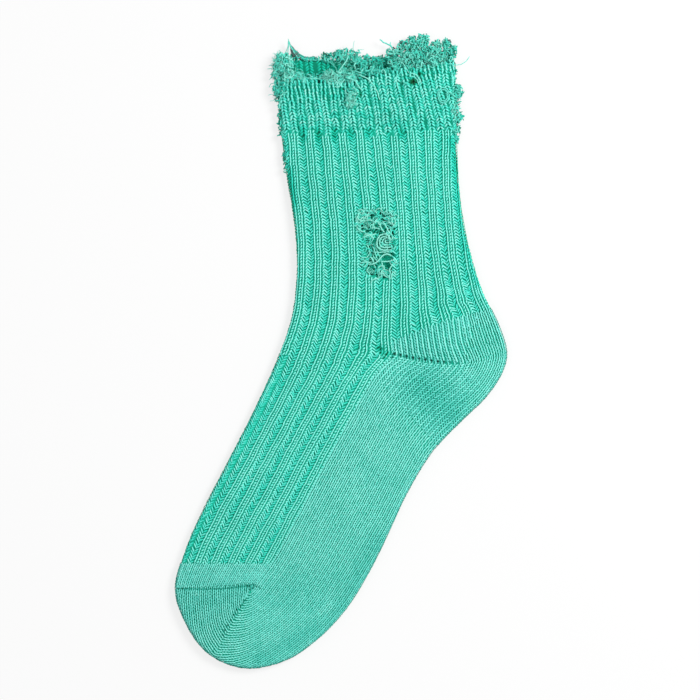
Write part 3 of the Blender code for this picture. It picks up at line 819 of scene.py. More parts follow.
# from, to, where it turns plain, kind
HEEL_KNIT = (("heel_start", "gore", 63.5, "heel"), ("gore", "arch", 64.0, "knit"))
RIB_KINDS = ((3, "rib_left"), (0, "rib_right"), (1, "purl_left"), (2, "purl_right"))
RUN_OFF_KINDS = ((2, "purl_left"), (3, "purl_left"), (0, "purl_right"))
INNER_KINDS = ((1, "rib_left"), (2, "rib_right"), (3, "purl_left"), (0, "purl_right"))
groups = {}


def put(layer, part, panel, stitches, kind, **shape):
    """Adds the strokes of the stitches that are in the layer to one of its pieces."""
    stitches = stitches[panel.in_upper(stitches) == (layer == "upper")]
    groups.setdefault(f"{layer}_{part}", []).extend(stitch_parts(panel, stitches, kind, **shape))


def of_kinds(stitches, kinds):
    """The stitches of each kind of wale in turn."""
    for phase, kind in kinds:
        yield stitches[wale_number(stitches) % 4 == phase], kind


for layer in ("upper", "under"):
    for panel in (front, back):
        cuff = whole_stitches(panel, "top", "cuff_base")
        even = wale_number(cuff) % 2 == 0
        x, y, _ = panel.places(cuff).T
        worn_line = WORN_HEIGHT + WORN_RISE * smooth_step((x - RISE_FROM) / RISE_OVER)
        worn = y + rng.normal(0, WORN_SPREAD, len(cuff)) > worn_line
        put(layer, "cuff_knit", panel, cuff[even & ~worn], "cuff")
        put(layer, "cuff_knit", panel, cuff[even & worn], "cuff_worn")
        put(layer, "cuff_knit", panel, cuff[~even], "cuff_gap", along=3)
        leg = whole_stitches(panel, "cuff_base", "ankle")
        hem = panel.places(leg)[:, 1] > HEM - HEM_DEPTH[rib_number(leg)]
        even = wale_number(leg) % 2 == 0
        put(layer, "cuff_knit", panel, leg[hem & even], "cuff")
        put(layer, "cuff_knit", panel, leg[hem & ~even], "cuff_gap", along=3)
        leg = np.concatenate([leg[~hem], whole_stitches(panel, "ankle", "heel_start", panel is front)])
        for ribs, kind in of_kinds(leg, RIB_KINDS):
            put(layer, "leg_ribs", panel, ribs, kind)
    foot = front.stitches("heel_start", "ribs_end")
    run_off = (foot[:, 0] > RUN_OFF[0]) & (foot[:, 0] < RUN_OFF[1])
    run_off &= front.places(foot)[:, 1] < RUN_OFF_UNDER
    for instep, kinds in ((foot[~run_off], RIB_KINDS), (foot[run_off], RUN_OFF_KINDS)):
        for ribs, kind in of_kinds(instep, kinds):
            put(layer, "instep_ribs", front, ribs, kind)
    put(layer, "toe_knit", front, front.stitches("ribs_end", "toe_seam"), "plain")
    for start, end, flat_from, kind in HEEL_KNIT:
        heel = back.stitches(start, end, shared=False)
        flat = back.places(heel)[:, 0] + rng.normal(0, FLAT_SPREAD, len(heel)) > flat_from
        put(layer, "heel_knit", back, heel[~flat], kind)
        put(layer, "heel_knit", back, heel[flat], "plain")
    put(layer, "sole_knit", back, back.stitches("arch", "toe_seam"), "plain")
    for start, end in (("toe_seam", "mitre"), ("mitre", "seam")):
        put(layer, "toe_knit", back, back.stitches(start, end, shared=False), "plain")

# Through the mouth and the hole the inner face of the lower layer shows.
INNER_DEPTH = BASE_DEPTH + BASE_WALL + 0.45  # its stitches, under the crests of the outer face
# Painted shade: the inner face is darker where it shows through the mouth and the hole.
MOUTH_DIM, HOLE_DIM = 0.46, 0.42
MOUTH_BELOW = 4.0  # it goes on this far under the upper rim
HOLE_MIDDLE, HOLE_REACH = (18.0, 54.0), (11.0, 20.0)
inner_face = groups["inner_face_knit"] = []
for panel in (front, back):
    cuff = whole_stitches(panel, "top", "cuff_base")
    x, y, _ = panel.places(cuff).T
    seen = ~panel.in_upper(cuff) & (y > rim_height(x, True) - MOUTH_BELOW) & (wale_number(cuff) % 2 == 0)
    inner_face.extend(stitch_parts(panel, cuff[seen], "cuff", inner=INNER_DEPTH, dim=MOUTH_DIM))
    leg = panel.stitches("cuff_base", "heel_start")
    near = (np.abs(panel.places(leg)[:, :2] - HOLE_MIDDLE) < HOLE_REACH).all(axis=1)
    for ribs, kind in of_kinds(leg[~panel.in_upper(leg) & near], INNER_KINDS):
        inner_face.extend(stitch_parts(panel, ribs, kind, inner=INNER_DEPTH, dim=HOLE_DIM))

for name, parts in groups.items():
    points, faces, tones = join(parts)
    fall = PLAIN_FALL if name.endswith(("heel_knit", "sole_knit", "toe_knit")) else RIB_FALL
    yarn = CUFF_YARN if name.endswith("cuff_knit") else YARN
    add_mesh(name, points, faces, yarn, tones, fall)

# ---- loose yarn ----
LOWEST = 0.05  # the yarn stays this far above the table
LUMP, LUMP_TURN, END_THIN = 0.14, 2.3, 0.6  # how lumpy a yarn is, and how thin at its ends
TUBE_TONE, TUBE_SHADE = 0.86, 0.14  # painted light and shade: its shade at the sides, and how much lighter on top and darker underneath
TURN_RANGE, LIFT_TURNS, ANY_TURN = (0.3, 1.35), (3, 9), (0, 6)  # how much a curl turns, rises and falls
GAP_MARGIN = 0.8  # the clumps' yarns start this far from a gap
CURL_STEP, CURL_JITTER, CURL_RISE = 0.5, 0.22, 0.5
HAIR, HAIR_POINTS, HAIR_TURN, HAIR_JITTER, HAIR_RISE = 0.075, 6, 0.22, 0.25, 0.25
STRAND_POINTS = 7  # for each step of a single yarn
CRIMP, CRIMP_TURN = 0.07, 1.15
CURL_SHADES, CURL_SIZES = (0.84, 1.12), (0.85, 1.35)  # how far the yarns of a clump differ
HAIR_SHADES, HAIR_SIZES = (0.85, 1.15), (0.7, 1.4)


def tubes(paths, radius, tone_and_shade, sides):
    """Lumpy plied yarn along many paths [n, m, 3]."""
    n, m = paths.shape[:2]
    radius = np.broadcast_to(np.asarray(radius, float), n)
    tone_and_shade = np.broadcast_to(np.asarray(tone_and_shade, float), n)
    along = unit(np.gradient(paths, axis=1))
    side = unit(np.cross(along, np.array((0.13, 0.21, 1.0))))
    up = np.cross(side, along)
    t = np.linspace(-1, 1, m)
    lumps = 1 + LUMP * np.sin(np.arange(m) * LUMP_TURN + rng.uniform(*ANY_TURN, (n, 1)))
    thick = radius[:, None] * lumps * (1 - END_THIN * t**10)
    angle = np.linspace(0, 2 * math.pi, sides, endpoint=False)
    ring = np.cos(angle)[:, None] * side[:, :, None] + np.sin(angle)[:, None] * up[:, :, None]
    points = paths[:, :, None] + ring * thick[:, :, None, None]
    points[..., 2] = np.maximum(points[..., 2], LOWEST)
    # Painted light: each yarn lighter on top, darker underneath.
    tones = tone_and_shade[:, None, None] * np.broadcast_to(TUBE_TONE + TUBE_SHADE * np.sin(angle), (n, m, sides))
    index = np.arange(n * m * sides).reshape(n, m, sides)
    return points.reshape(-1, 3), strips(index, np.roll(index, -1, axis=2)), tones.reshape(-1)


def scribble(centres, steps, step, spin, jitter, rise):
    """Paths that wander from their centres, curling one way and back as unravelled yarn does."""
    n = len(centres)
    turn = spin * rng.choice((-1, 1), (n, 1)) * rng.uniform(*TURN_RANGE, (n, 1))
    turn = turn * np.where(np.arange(steps) < rng.integers(steps // 2, steps * 2, (n, 1)), 1, -1)
    heading = rng.uniform(0, 2 * math.pi, (n, 1))
    heading = heading + np.cumsum(turn + rng.normal(0, jitter, (n, steps)), axis=1)
    moves = step * np.stack([np.cos(heading), np.sin(heading)], axis=-1)
    waves = np.linspace(0, 1, steps) * rng.uniform(*LIFT_TURNS, (n, 1)) + rng.uniform(*ANY_TURN, (n, 1))
    lift = rise * np.sin(waves)
    paths = np.concatenate([np.cumsum(moves, axis=1), lift[..., None]], axis=-1)
    paths -= paths.mean(axis=1, keepdims=True)
    return paths + centres[:, None]


def scatter(x, y, reach_x, reach_y, low, high, count):
    """Places spread over an ellipse."""
    angle = rng.uniform(0, 2 * math.pi, count)
    away = np.sqrt(rng.uniform(0, 1, count))
    across, down = reach_x * away * np.cos(angle), reach_y * away * np.sin(angle)
    return np.stack([x + across, y + down, rng.uniform(low, high, count)], axis=-1)


def clear_of(places, gaps):
    """Drops the places that lie in the gaps: x, y, reach x, reach y."""
    keep = np.ones(len(places), bool)
    for x, y, *reach in gaps:
        keep &= (((places[:, :2] - (x, y)) / (np.array(reach) + GAP_MARGIN)) ** 2).sum(axis=1) > 1
    return places[keep]


# Clumps of curled yarn by piece. size is the radius of the curls.
# x, y, reach x, reach y, low, high, yarns, size, yarn radius, shade, low where painted shade darkens a clump
CLUMPS = {
    "side_loops": (
        (-29.6, 146, 3.4, 3.2, 2, 4.6, 39, 1.1, 0.31, 0.92),
        (-31.2, 139.5, 2.8, 4.6, 1.6, 4.8, 46, 1.1, 0.31, 0.9),
        (-31.4, 132, 2, 4.4, 1.6, 4.6, 33, 1, 0.31, 0.86), (-30.2, 125, 1.4, 3.4, 1.8, 4.4, 20, 1, 0.31, 0.9),
        (-29.8, 118.4, 1.2, 3, 1.8, 4.4, 11, 1, 0.31, 0.86),
        (-30.2, 113.4, 1.3, 1.8, 1.6, 4.4, 11, 1, 0.31, 0.86),
        (-29.4, 109.6, 1.2, 1.6, 1.6, 4.4, 10, 1, 0.31, 0.86),
        (-28, 97.4, 0.9, 2.6, 1.8, 4.4, 10, 1, 0.29, 0.84), (-27.6, 92, 0.7, 1.6, 1.8, 4, 5, 0.9, 0.27, 0.84),
    ),
    "front_fray": (
        (-27, 143, 3, 4.4, 3.6, 5.8, 44, 1.1, 0.33, 1.02), (-28.4, 133.6, 1.8, 6, 4.2, 5.6, 31, 1, 0.3, 0.98),
        (-23, 137.6, 3.4, 1.8, 4.2, 5.6, 26, 1.1, 0.33, 1),
        (-16, 137.6, 7, 0.9, 3.8, 5.2, 30, 0.8, 0.24, 0.9), (-14.5, 136, 6.6, 1.3, 4.2, 5.4, 33, 1, 0.33, 1),
        (-5.4, 137.4, 3.6, 2.8, 4.4, 6, 33, 1.1, 0.33, 1.08),
        (1.5, 137.4, 4, 3.4, 4.2, 6.2, 41, 1.1, 0.33, 1), (7.4, 137, 4, 4, 4.2, 6.2, 44, 1.1, 0.33, 0.98),
        (5.2, 127.4, 2.4, 5.2, 5.4, 7.2, 39, 1, 0.32, 1.12), (13, 141.4, 4.2, 3.6, 3.8, 6, 44, 1, 0.33, 0.96),
        (20, 140.6, 3.4, 2.2, 4, 5.8, 23, 1, 0.33, 0.96), (28, 144, 4, 3.2, 4, 6.4, 49, 1, 0.28, 1),
        (36, 146.5, 5.6, 3.6, 4.2, 6.8, 78, 1, 0.28, 1), (46, 148.4, 5.6, 3.6, 4.2, 6.8, 78, 1, 0.28, 1),
        (53.4, 147.4, 2.8, 4.2, 3.2, 5.6, 42, 1, 0.28, 0.94), (58, 130, 2.4, 3.4, 1.6, 5, 58, 1, 0.28, 0.92),
        (57, 124, 1.8, 3.4, 1.8, 5, 33, 1, 0.28, 0.96), (58.2, 117.4, 1.9, 2.6, 1.6, 4.8, 40, 1, 0.28, 0.94),
        (57.4, 111.6, 1.7, 1.8, 1.6, 4.8, 27, 1, 0.28, 0.92),
        (57.2, 106.2, 1.5, 1.6, 1.6, 4.6, 18, 0.9, 0.28, 0.92), (56.4, 138, 1, 4, 2, 4.8, 20, 0.9, 0.28, 0.9),
        (28, 140.6, 4.4, 1.6, 5, 6.6, 16, 0.9, 0.26, 0.98), (37, 142.4, 5.4, 1.9, 5.2, 6.8, 24, 0.9, 0.26, 1),
        (46, 143.8, 3.6, 1.6, 5.2, 6.8, 12, 0.9, 0.26, 0.98),
        (30.4, 136.6, 2.2, 2.4, 5.4, 6.6, 8, 0.9, 0.24, 0.98),
    ),
    "back_fray": (
        (21.4, 145.8, 3.6, 1.8, 1, 2.8, 30, 0.9, 0.32, 0.62),
        (16.4, 144.6, 4, 1.4, 1, 2.8, 20, 0.9, 0.3, 0.66),
        (-23.8, 147.2, 2.2, 1.2, 1, 3.2, 15, 0.8, 0.27, 0.72),
        (-15, 146.6, 7, 0.5, 1.6, 2.6, 23, 0.7, 0.29, 0.86),
        (-6.4, 147.4, 2.8, 2.2, 1, 3.8, 31, 0.9, 0.33, 0.86), (0.5, 148.4, 4, 3, 1, 4.2, 52, 0.9, 0.33, 0.86),
        (6.4, 147, 3, 4.2, 1, 4.6, 52, 1, 0.33, 0.94), (12, 146, 3.6, 2.2, 1, 4, 28, 0.9, 0.33, 0.86),
        (18, 146.2, 3, 1.6, 1, 3.4, 20, 0.9, 0.33, 0.8), (25.6, 148, 3, 3.6, 1, 4.8, 52, 0.9, 0.28, 0.92),
        (31, 151.4, 3.2, 3.6, 1, 5.2, 58, 0.9, 0.28, 0.94),
        (35.6, 154.8, 2.2, 2.8, 1, 5, 40, 0.9, 0.28, 0.94),
        (41.2, 156.2, 2.6, 2.8, 1, 5.2, 52, 0.9, 0.28, 0.96),
        (40, 151.4, 5, 3.2, 2, 5.4, 67, 0.9, 0.28, 0.96), (47.6, 152.8, 3.2, 2.6, 1, 5, 52, 0.9, 0.28, 0.94),
        (52.8, 153.6, 1.9, 2.4, 1, 4.8, 33, 0.9, 0.28, 0.86),
        (56.2, 150.6, 1.9, 2.2, 1, 4.6, 27, 0.9, 0.28, 0.92),
    ),
    # Dark grey tufts at the mouth and the outline's edge: painted shadow.
    "grey_shadow_tips": (
        (-23.2, 149, 1.2, 1.2, 1.4, 3, 10, 0.8, 0.24, 0.36),
        (-20.8, 147.6, 1.6, 0.5, 1.4, 2.8, 8, 0.7, 0.22, 0.36),
        (-32.8, 142.6, 0.6, 1.6, 1.4, 3, 7, 0.8, 0.24, 0.34),
        (-31.8, 128.4, 0.9, 1.8, 1.4, 3.4, 14, 0.8, 0.28, 0.12),
        (35.1, 156.9, 0.8, 0.8, 1.4, 3, 5, 0.7, 0.26, 0.42),
        (29.8, 154.6, 1, 0.8, 1.4, 3.4, 8, 0.7, 0.26, 0.34),
        (26.7, 151.6, 0.7, 0.9, 1.4, 3.4, 6, 0.7, 0.26, 0.1),
        (53.4, 155.2, 1, 1, 1.4, 3.4, 7, 0.7, 0.26, 0.42), (60.2, 129.8, 0.6, 1, 1.4, 3, 6, 0.7, 0.26, 0.46),
    ),
    "hole_yarn": (
        (17, 70.2, 8.6, 1.2, 4.2, 5.7, 23, 1.2, 0.26, 1.16),
        (9.4, 63, 1.6, 6.6, 4.2, 5.7, 17, 1.2, 0.26, 1.16), (27, 64, 1.2, 5.6, 4.2, 5.7, 17, 1.2, 0.26, 1.16),
        (13.2, 67, 4.4, 3.4, 3.2, 5.5, 32, 1.2, 0.26, 1.18),
        (20, 67.2, 4.8, 3.4, 3.2, 5.5, 36, 1.2, 0.26, 1.18),
        (25, 64.6, 2.4, 5.6, 3.2, 5.5, 26, 1.2, 0.26, 1.16),
        (11.8, 61, 3.2, 4, 3.2, 5.5, 28, 1.2, 0.26, 1.16), (19, 62.6, 5, 2, 3, 4.8, 25, 1.2, 0.26, 1.04),
        (13.8, 57.4, 3.6, 1.6, 3.2, 5.2, 22, 1.2, 0.26, 1.18),
        (25.2, 57.4, 1.4, 2.6, 3.2, 5.2, 13, 1.2, 0.26, 1.16),
        (20, 53.6, 6, 5, 2.2, 3.6, 34, 1.3, 0.26, 1.04), (18, 46.6, 5.6, 4, 2.2, 3.6, 22, 1.3, 0.26, 1),
        (25.8, 50, 1, 9, 3.6, 5.4, 19, 1.2, 0.25, 1.16), (12.4, 48, 1.2, 9, 3.6, 5.4, 21, 1.2, 0.25, 1.14),
        (18.5, 39, 7.4, 3.2, 3.6, 5.6, 47, 1.2, 0.26, 1.18),
    ),
}
# Fluff of the worn yarn: x, y, reach x, reach y, low, high, hairs, length, shade
FLUFF = {
    "side_loops": (
        (-31, 143, 3.6, 7, 2, 5.6, 150, 3.6, 1), (-32, 132, 2.2, 6, 2, 5, 80, 3.2, 0.96),
    ),
    "front_fray": (
        (-24, 138, 6, 4, 5, 6.4, 80, 3, 1.1), (-5.8, 137.6, 3.6, 3, 5.6, 6.8, 130, 2.2, 1.18),
        (3, 138, 6, 4, 5.4, 6.8, 80, 3, 1.1), (5.2, 126, 2.6, 3.8, 6.6, 7.5, 110, 2, 1.18),
        (40, 146, 14, 4, 5.4, 7, 150, 2.4, 1.06),
    ),
    "back_fray": (
        (2, 147, 8, 4.4, 2, 5, 90, 3, 1), (40, 150.5, 14, 3, 2.6, 5.6, 110, 1.6, 1.06),
    ),
    "hole_yarn": (
        (14, 63.2, 3, 1.4, 5, 5.8, 36, 1.6, 1.16), (15, 40.6, 1.6, 1, 4.8, 5.6, 30, 1.4, 1.18),
        (21.4, 39.4, 1.6, 0.8, 4.8, 5.6, 26, 1.4, 1.16),
    ),
}
# Dark gaps of the hole, where nothing is left: x, y, reach x, reach y
GAPS = (
    (15.4, 60.3, 3.2, 1), (16.4, 68, 1, 0.5), (21.5, 68.7, 0.5, 0.6), (25.3, 67.6, 0.9, 0.5),
    (15.4, 65, 0.6, 0.5), (11, 63.6, 0.6, 0.9), (26.2, 61.1, 0.8, 0.6), (10.4, 58.1, 0.6, 0.8),
    (16.5, 55.7, 1.6, 0.6), (15.5, 49.3, 1.1, 0.8), (20.1, 48.9, 0.9, 0.5), (22.8, 46.7, 3, 1.5),
    (15.8, 42.7, 2.8, 0.8), (23, 43, 1.2, 0.8), (15, 37.9, 0.9, 0.5), (18.7, 37.6, 0.6, 0.5),
)
# Single yarns, in the order of their making: yarn radius, shade (painted darker where a yarn lies deeper),
# then x, y and z of each point
STRANDS = (
    ("hole_yarn", (
        (0.38, 1.14, 24.2, 54.8, 4.8, 24.5, 56.2, 5, 23.8, 57.8, 5, 22, 58.8, 5, 19.6, 58.3, 4.9,
         18.3, 56.4, 4.7, 17.9, 54.6, 4.6, 18.1, 52.9, 4.5, 19, 51.8, 4.5, 20.4, 51.1, 4.5, 22.4, 50.9, 4.6,
         25.4, 51.1, 4.9),
        (0.34, 1.1, 23.4, 56.2, 4.4, 22.7, 57.4, 4.5, 20.9, 57.5, 4.4, 19.6, 56.6, 4.3, 19.3, 55, 4.2,
         19.5, 53.5, 4.1, 20.4, 52.5, 4.1, 22.4, 52.2, 4.2, 25.4, 52.4, 4.6),
        (0.32, 1.06, 22.8, 56.6, 4, 21.6, 56.6, 4, 20.8, 55.6, 3.9, 20.8, 54.4, 3.8, 21.4, 53.7, 3.8,
         23.2, 53.5, 3.9, 25.4, 53.6, 4.4),
        (0.3, 1.08, 23, 55.6, 4, 22.2, 55.8, 4, 22.1, 54.9, 3.9, 22.8, 54.6, 3.9, 25, 54.9, 4.4),
        (0.34, 1.14, 18.4, 64.9, 5.2, 19.8, 62.6, 5.2, 20.5, 61.1, 5.1, 21.8, 59.8, 5),
        (0.34, 1.14, 20.7, 65.2, 5.3, 22.6, 62.6, 5.3, 23.6, 60.4, 5.2, 24.7, 58.8, 5),
        (0.34, 1.1, 18.3, 66.8, 5.2, 16, 63.6, 5.2, 15.8, 61.5, 4.8),
        (0.42, 1.12, 24, 65, 5.2, 25.5, 63.8, 5.3, 27.5, 62.8, 5.2),
        (0.3, 1.08, 15.6, 62.2, 4.6, 17.4, 62, 4.6, 19.6, 61.4, 4.7),
        (0.34, 1.12, 12.6, 59.2, 4.8, 15.3, 58.5, 4.9, 17.6, 59.2, 4.7),
        (0.32, 1.12, 8.5, 68, 5.4, 8.7, 66.3, 5.5, 9.9, 65.7, 5.5, 12.1, 65.8, 5.4),
        (0.4, 1.16, 14.6, 43.6, 4.2, 17, 44.4, 4.4, 18.4, 45.4, 4.5, 19.5, 46.6, 4.6, 20.3, 47.7, 4.7,
         21.7, 48.7, 4.8, 23.3, 48.9, 4.8, 25.4, 48, 4.8),
        (0.34, 1.12, 12.8, 54, 4.8, 14.1, 51.4, 4.7, 14.4, 49.6, 4.6, 14.6, 48, 4.5, 15.7, 46.2, 4.4,
         16.5, 44.6, 4.3),
        (0.3, 1.04, 15.8, 53, 4, 16.8, 50.6, 4, 17.3, 48.6, 4, 18.2, 46.6, 3.8),
        (0.3, 1.04, 17.2, 54.4, 3.6, 17.6, 51.4, 3.6, 19, 48.4, 3.6, 20, 46, 3.6),
        (0.34, 1.12, 19.9, 45.3, 4.1, 22.2, 45.2, 4.2, 24, 45.3, 4.4, 25.8, 46, 4.8),
        (0.34, 1.12, 26, 44.2, 4.9, 24.8, 42.2, 5, 24.1, 41, 5, 24.6, 39.5, 5, 26, 37.4, 5),
        (0.3, 1.1, 16, 50, 3.8, 19, 49.8, 4, 22, 50, 4.4, 25.8, 50.2, 4.8),
        (0.32, 1.1, 20.4, 44.9, 4, 20.8, 42.9, 4.2, 21.4, 41.6, 4.4, 23.4, 40.6, 4.6),
        (0.32, 1.08, 18.9, 43.4, 4, 18.5, 41.8, 4.2, 18.2, 40.2, 4.4),
        (0.32, 1.12, 12.4, 45.6, 4.5, 13.4, 44.6, 4.5, 14.4, 43.4, 4.4),
        (0.32, 1.12, 25.6, 45.4, 4.8, 26.4, 46.4, 5, 27.6, 45.8, 5, 27.4, 44.6, 5, 26, 44.4, 5),
    )),
    ("front_fray", (
        (0.34, 1.1, 33.9, 138.9, 6, 36.7, 138.9, 6.4, 39.2, 136.1, 6.4, 40.2, 133.9, 6),
        (0.3, 1.06, 34.2, 137.6, 6, 36.4, 137.5, 6.2, 38.2, 135.4, 6.2, 38.8, 133.4, 6),
        (0.28, 1.08, -3.2, 137.3, 6.4, -2.9, 135.4, 6.5, -1.4, 134.5, 6.4),
        (0.3, 1.1, -3.4, 133.6, 6, -2.6, 134.4, 6.3, -1, 134.2, 6.3, -0.6, 132.8, 6.2, -2, 132.2, 6.2,
         -3.3, 132.8, 6),
        (0.3, 1.12, 3.7, 137, 6.4, 6.8, 135.4, 6.6, 9, 132.3, 6.6, 10.5, 130.6, 6.2),
        (0.34, 1.12, 28.6, 140.8, 6, 27.6, 136, 6.2, 28.8, 131, 6.2),
    )),
    ("side_loops", (
        (0.24, 1.08, -30.8, 140.1, 4.8, -30.2, 143.3, 5.2, -29, 148.3, 4.8),
    )),
    # Dark grey strands across the mouth's left corner: painted shade.
    ("grey_shadow_tips", (
        (0.3, 0.3, -25.9, 154.6, 3.2, -24.6, 151, 2.6, -23.4, 147.6, 2),
        (0.3, 0.26, -25.7, 154.2, 3.2, -23.6, 150.8, 2.6, -21.6, 147.4, 2),
        (0.3, 0.3, -25.6, 154, 3, -22.8, 150.4, 2.4, -19.6, 147.2, 1.8),
        (0.32, 0.26, -25.5, 153.9, 3, -23, 151.1, 2.6, -20.1, 148.6, 2.2, -17.6, 147.6, 2, -14.6, 147.2, 1.8),
        (0.26, 0.4, -25.4, 152.4, 3.4, -23.2, 149.3, 3, -20.6, 147, 2.6),
        (0.3, 0.24, -25.4, 151.6, 3, -24.4, 149.2, 2.4, -22.8, 146.8, 2),
        (0.3, 0.22, -24.6, 151.2, 2.8, -22.6, 148.4, 2.2, -20.4, 146.8, 1.8),
        (0.3, 0.28, -25, 149.4, 2.6, -22.4, 148.4, 2.4, -19, 147.6, 2),
        (0.3, 0.26, -25.2, 147.8, 2.4, -22.2, 147, 2.2, -18.2, 146.6, 1.8),
        (0.24, 0.3, -14.8, 147.5, 2, -13.8, 148, 2, -12.4, 147.2, 2),
    )),
    ("back_fray", (
        (0.22, 0.8, -26.4, 156.6, 3.4, -25.2, 152.6, 3.2, -22.4, 149.4, 2.8, -17.6, 146.6, 2.2),
        (0.22, 0.72, -26, 155.4, 3.2, -24.6, 152.4, 3, -21.2, 149.4, 2.6, -16.4, 146.8, 2),
        (0.2, 0.94, -26.2, 154.8, 3.4, -26.4, 151, 3.4, -27, 148, 3.2),
        (0.2, 1.02, -25.6, 154, 3.4, -24, 150.6, 3.2, -21.6, 147.4, 2.8),
        (0.18, 0.84, -26.2, 156.4, 3.4, -26.8, 152, 3, -29, 147.6, 3),
        (0.28, 0.92, -20, 147.2, 2.6, -14, 146.2, 2.4, -8, 146, 2.4, -3.4, 143.2, 2.8, -1.6, 139.6, 3.6),
    )),
    ("front_fray", (
        (0.3, 1.12, 3.6, 148.4, 5, 3, 146, 5.6, 0.2, 142, 6, -1.8, 138.4, 6.2, -2, 136, 6.2, 0.2, 134.6, 6.2,
         2, 136.4, 6),
        (0.2, 0.96, -21.6, 137.6, 5.4, -12, 136.4, 5.6, -4, 135, 5.8, 4, 131, 6),
        (0.3, 1.12, 9, 138.6, 6.2, 14, 135.8, 6.4, 17.6, 131, 6, 19.4, 126, 5.6),
        (0.36, 1.14, -27.4, 141, 5.6, -24.4, 140.6, 5.8, -23.6, 138.6, 5.8, -25.6, 136.8, 5.8,
         -28.2, 137.6, 5.6, -28, 140, 5.4),
        (0.3, 1.12, -27.4, 147.4, 4.6, -26, 148.2, 4.8, -25.6, 146.8, 4.8, -26.8, 146, 4.8,
         -27.6, 147.2, 4.6),
    )),
    ("back_fray", (
        (0.34, 0.86, 19.4, 156.4, 3.6, 21.4, 154.8, 3.6, 24.8, 153.2, 3.4, 26.2, 151, 3.2),
        (0.22, 0.82, 24.8, 155, 3.4, 24.6, 153.4, 3.4, 26, 151.4, 3.2),
        (0.34, 1.1, 26.8, 148.4, 4.6, 26.2, 150.6, 4.8, 27.6, 151, 4.8, 28, 149, 4.6),
        (0.2, 1.14, 50.4, 154.6, 5.4, 49.8, 151.4, 6.2, 47, 148, 6.8, 42.6, 145.4, 7),
    )),
    ("front_fray", (
        (0.3, 1.12, 30, 145.2, 6, 32, 142.6, 6.4, 33.8, 139.4, 6.2),
    )),
    ("side_loops", (
        (0.16, 0.86, -33, 141, 3, -35, 141.8, 2.8, -37, 141.6, 2.6),
        (0.14, 0.8, -33.4, 137, 3, -35.2, 137, 2.6, -35.8, 136.2, 2.4),
        (0.14, 0.8, -33.6, 134.6, 3, -35, 134.2, 2.6, -36, 132.4, 2.4),
        (0.12, 0.9, -33, 128.8, 3, -35, 129, 2.6, -36.6, 128.4, 2.4),
        (0.12, 0.9, -32.6, 126.4, 3, -34.2, 125.8, 2.6, -35.6, 125.6, 2.4),
    )),
    ("front_fray", (
        (0.18, 0.92, 56.2, 143.6, 3.4, 59.6, 143.8, 3, 62.4, 145.4, 2.8, 64.4, 148, 2.8),
        (0.22, 1.1, 56.6, 146.8, 3.6, 56.4, 145.2, 3.8, 54.6, 143.4, 4.4),
        (0.12, 0.94, 6, 150, 4, 6.2, 153, 4, 6.6, 155.6, 4),
        (0.12, 0.94, 6.4, 149.4, 4, 9, 151, 4, 11.4, 151.2, 4),
    )),
)
# The eye-shaped loop near the back edge, of closed rings
EYE_CENTRE, EYE_RADII, EYE_SHAPE = (51.2, 128.2), (2.6, 3.5), (0.8, 1.1)
EYE_HEIGHT, EYE_YARN, EYE_TONE, EYE_POINTS = 5.9, 0.30, 0.92, 14
# The CAD node that each piece stands for, how its colour falls, and for its clumps how
# much the yarns turn, their points, and the painted shade of the deepest.
LOOSE_PIECES = {
    "front_fray": ("upper_rim_fray", LOOSE_FALL, 0.42, 9, 0.14),
    "back_fray": ("lower_rim_fray", LOOSE_FALL, 0.42, 9, 0.14),
    "side_loops": ("side_fray", LOOSE_FALL, 0.42, 9, 0.14),
    "hole_yarn": ("run_yarn", HOLE_FALL, 0.40, 11, 0.16),
    "grey_shadow_tips": (None, GREY_FALL, 0.42, 9, 0.14),
}
# Painted light on the top yarns of a clump
TOP_TONE = 1.1

loose = {name: [] for name in LOOSE_PIECES}
for name, rows in CLUMPS.items():
    turn, steps, deep = LOOSE_PIECES[name][2:]
    for *spread, count, size, radius, shade in rows:
        low, high = spread[4:]
        places = scatter(*spread, count)
        if name == "hole_yarn":
            places = clear_of(places, GAPS)
        paths = scribble(places, steps, CURL_STEP * size, turn, CURL_JITTER, CURL_RISE)
        # Painted shade: the deeper a yarn lies in its clump, the darker it is.
        height = (places[:, 2] - low) / (high - low)
        tones = shade * (deep + (TOP_TONE - deep) * height) * rng.uniform(*CURL_SHADES, len(places))
        loose[name].append(tubes(paths, radius * rng.uniform(*CURL_SIZES, len(places)), tones, 4))
for name, rows in FLUFF.items():
    for *spread, count, long, shade in rows:
        step = long / (HAIR_POINTS - 1)
        paths = scribble(scatter(*spread, count), HAIR_POINTS, step, HAIR_TURN, HAIR_JITTER, HAIR_RISE)
        radii = HAIR * rng.uniform(*HAIR_SIZES, count)
        loose[name].append(tubes(paths, radii, shade * rng.uniform(*HAIR_SHADES, count), 3))


def add_strand(name, points, radius, tone_and_shade):
    """A yarn through the points, with the crimp that unravelled yarn keeps."""
    line = smooth_line(points, STRAND_POINTS)
    wave = np.arange(len(line)) * CRIMP_TURN + rng.uniform(*ANY_TURN)
    line = line + CRIMP * np.stack([np.sin(wave), np.cos(wave * 0.9), 0.6 * np.sin(wave * 1.3)], axis=1)
    loose[name].append(tubes(line[None], radius, tone_and_shade, 6))


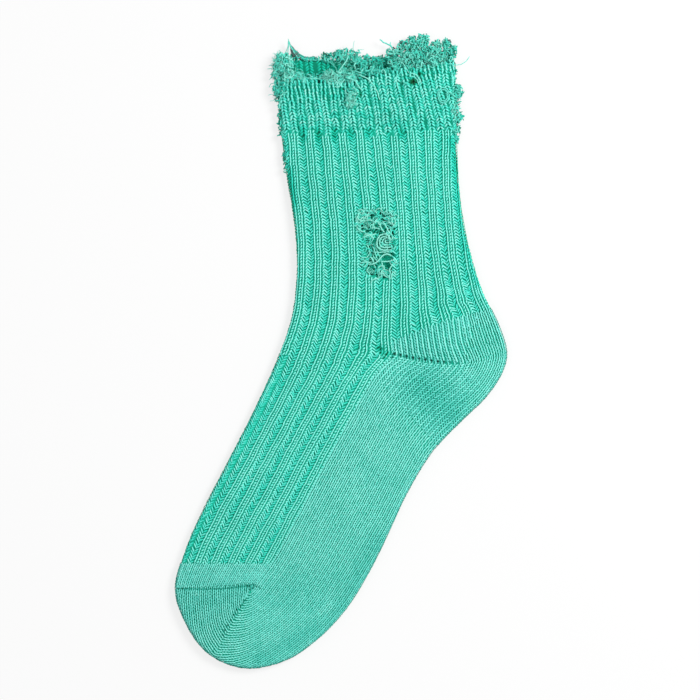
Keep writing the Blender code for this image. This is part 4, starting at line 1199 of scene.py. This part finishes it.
for name, rows in STRANDS:
    for radius, shade, *points in rows:
        add_strand(name, np.reshape(points, (-1, 3)), radius, shade)
for radius in EYE_RADII:
    turn = np.radians(np.linspace(0, 360, EYE_POINTS))
    ring_x = EYE_CENTRE[0] + EYE_SHAPE[0] * radius * np.cos(turn)
    ring_y = EYE_CENTRE[1] + EYE_SHAPE[1] * radius * np.sin(turn)
    ring = np.stack([ring_x, ring_y, np.full(EYE_POINTS, EYE_HEIGHT)], axis=1)
    add_strand("front_fray", ring, EYE_YARN, EYE_TONE)
for name, (node, fall, *_) in LOOSE_PIECES.items():
    points, faces, tones = join(loose[name])
    piece = add_mesh(name, points, faces, LOOSE, tones, fall)
    if node:
        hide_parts(node)


# ---- floor, light ----
def floor_material():
    """A matte floor that the camera and reflections see as near white, with the object's shadow."""
    material = bpy.data.materials.new("white_floor")
    material.use_nodes = True
    tree = material.node_tree
    tree.nodes.clear()
    matte = add_node(tree, "BsdfDiffuse", {"Color": (0.86, 0.86, 0.86, 1)})
    glow = add_node(tree, "Emission", {"Strength": 1.0})
    path = add_node(tree, "LightPath", {}).outputs
    seen = add_node(tree, "Math", {0: path["Is Camera Ray"], 1: path["Is Glossy Ray"]}, operation="MAXIMUM")
    part = add_node(tree, "Math", {0: seen.outputs["Value"], 1: 0.75}, operation="MULTIPLY")
    mix = add_node(tree, "MixShader", {
        "Fac": part.outputs["Value"], 1: matte.outputs["BSDF"], 2: glow.outputs["Emission"],
    })
    add_node(tree, "OutputMaterial", {"Surface": mix.outputs["Shader"]})
    return material


FLOOR_HALF, FLOOR_DROP = 3, 0.0002
corners = [(-1, -1), (1, -1), (1, 1), (-1, 1)]
floor_mesh = bpy.data.meshes.new("floor")
floor_mesh.from_pydata([(FLOOR_HALF * x, FLOOR_HALF * y, 0) for x, y in corners], [], [(0, 1, 2, 3)])
floor_mesh.materials.append(floor_material())
floor = add_object("floor", floor_mesh)
floor.location.z = -FLOOR_DROP
floor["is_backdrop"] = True

world = bpy.data.worlds.new("world")
bpy.context.scene.world = world
world.use_nodes = True
sky = world.node_tree.nodes["Background"]
sky.inputs["Color"].default_value = (1, 1, 1, 1)
sky.inputs["Strength"].default_value = 0.5


def area_light(name, place, size, power):
    """A round lamp that shines on the middle of the sock."""
    data = bpy.data.lights.new(name, "AREA")
    data.shape = "DISK"
    data.size = size
    data.energy = power
    light = add_object(name, data)
    light.location = place
    light.rotation_euler = (-Vector(place)).to_track_quat("-Z", "Y").to_euler()


area_light("key", (0.80, 0.45, 0.82), 0.5, 12.8)
area_light("fill", (-0.6, -0.5, 1.2), 0.9, 2.4)

low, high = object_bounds()
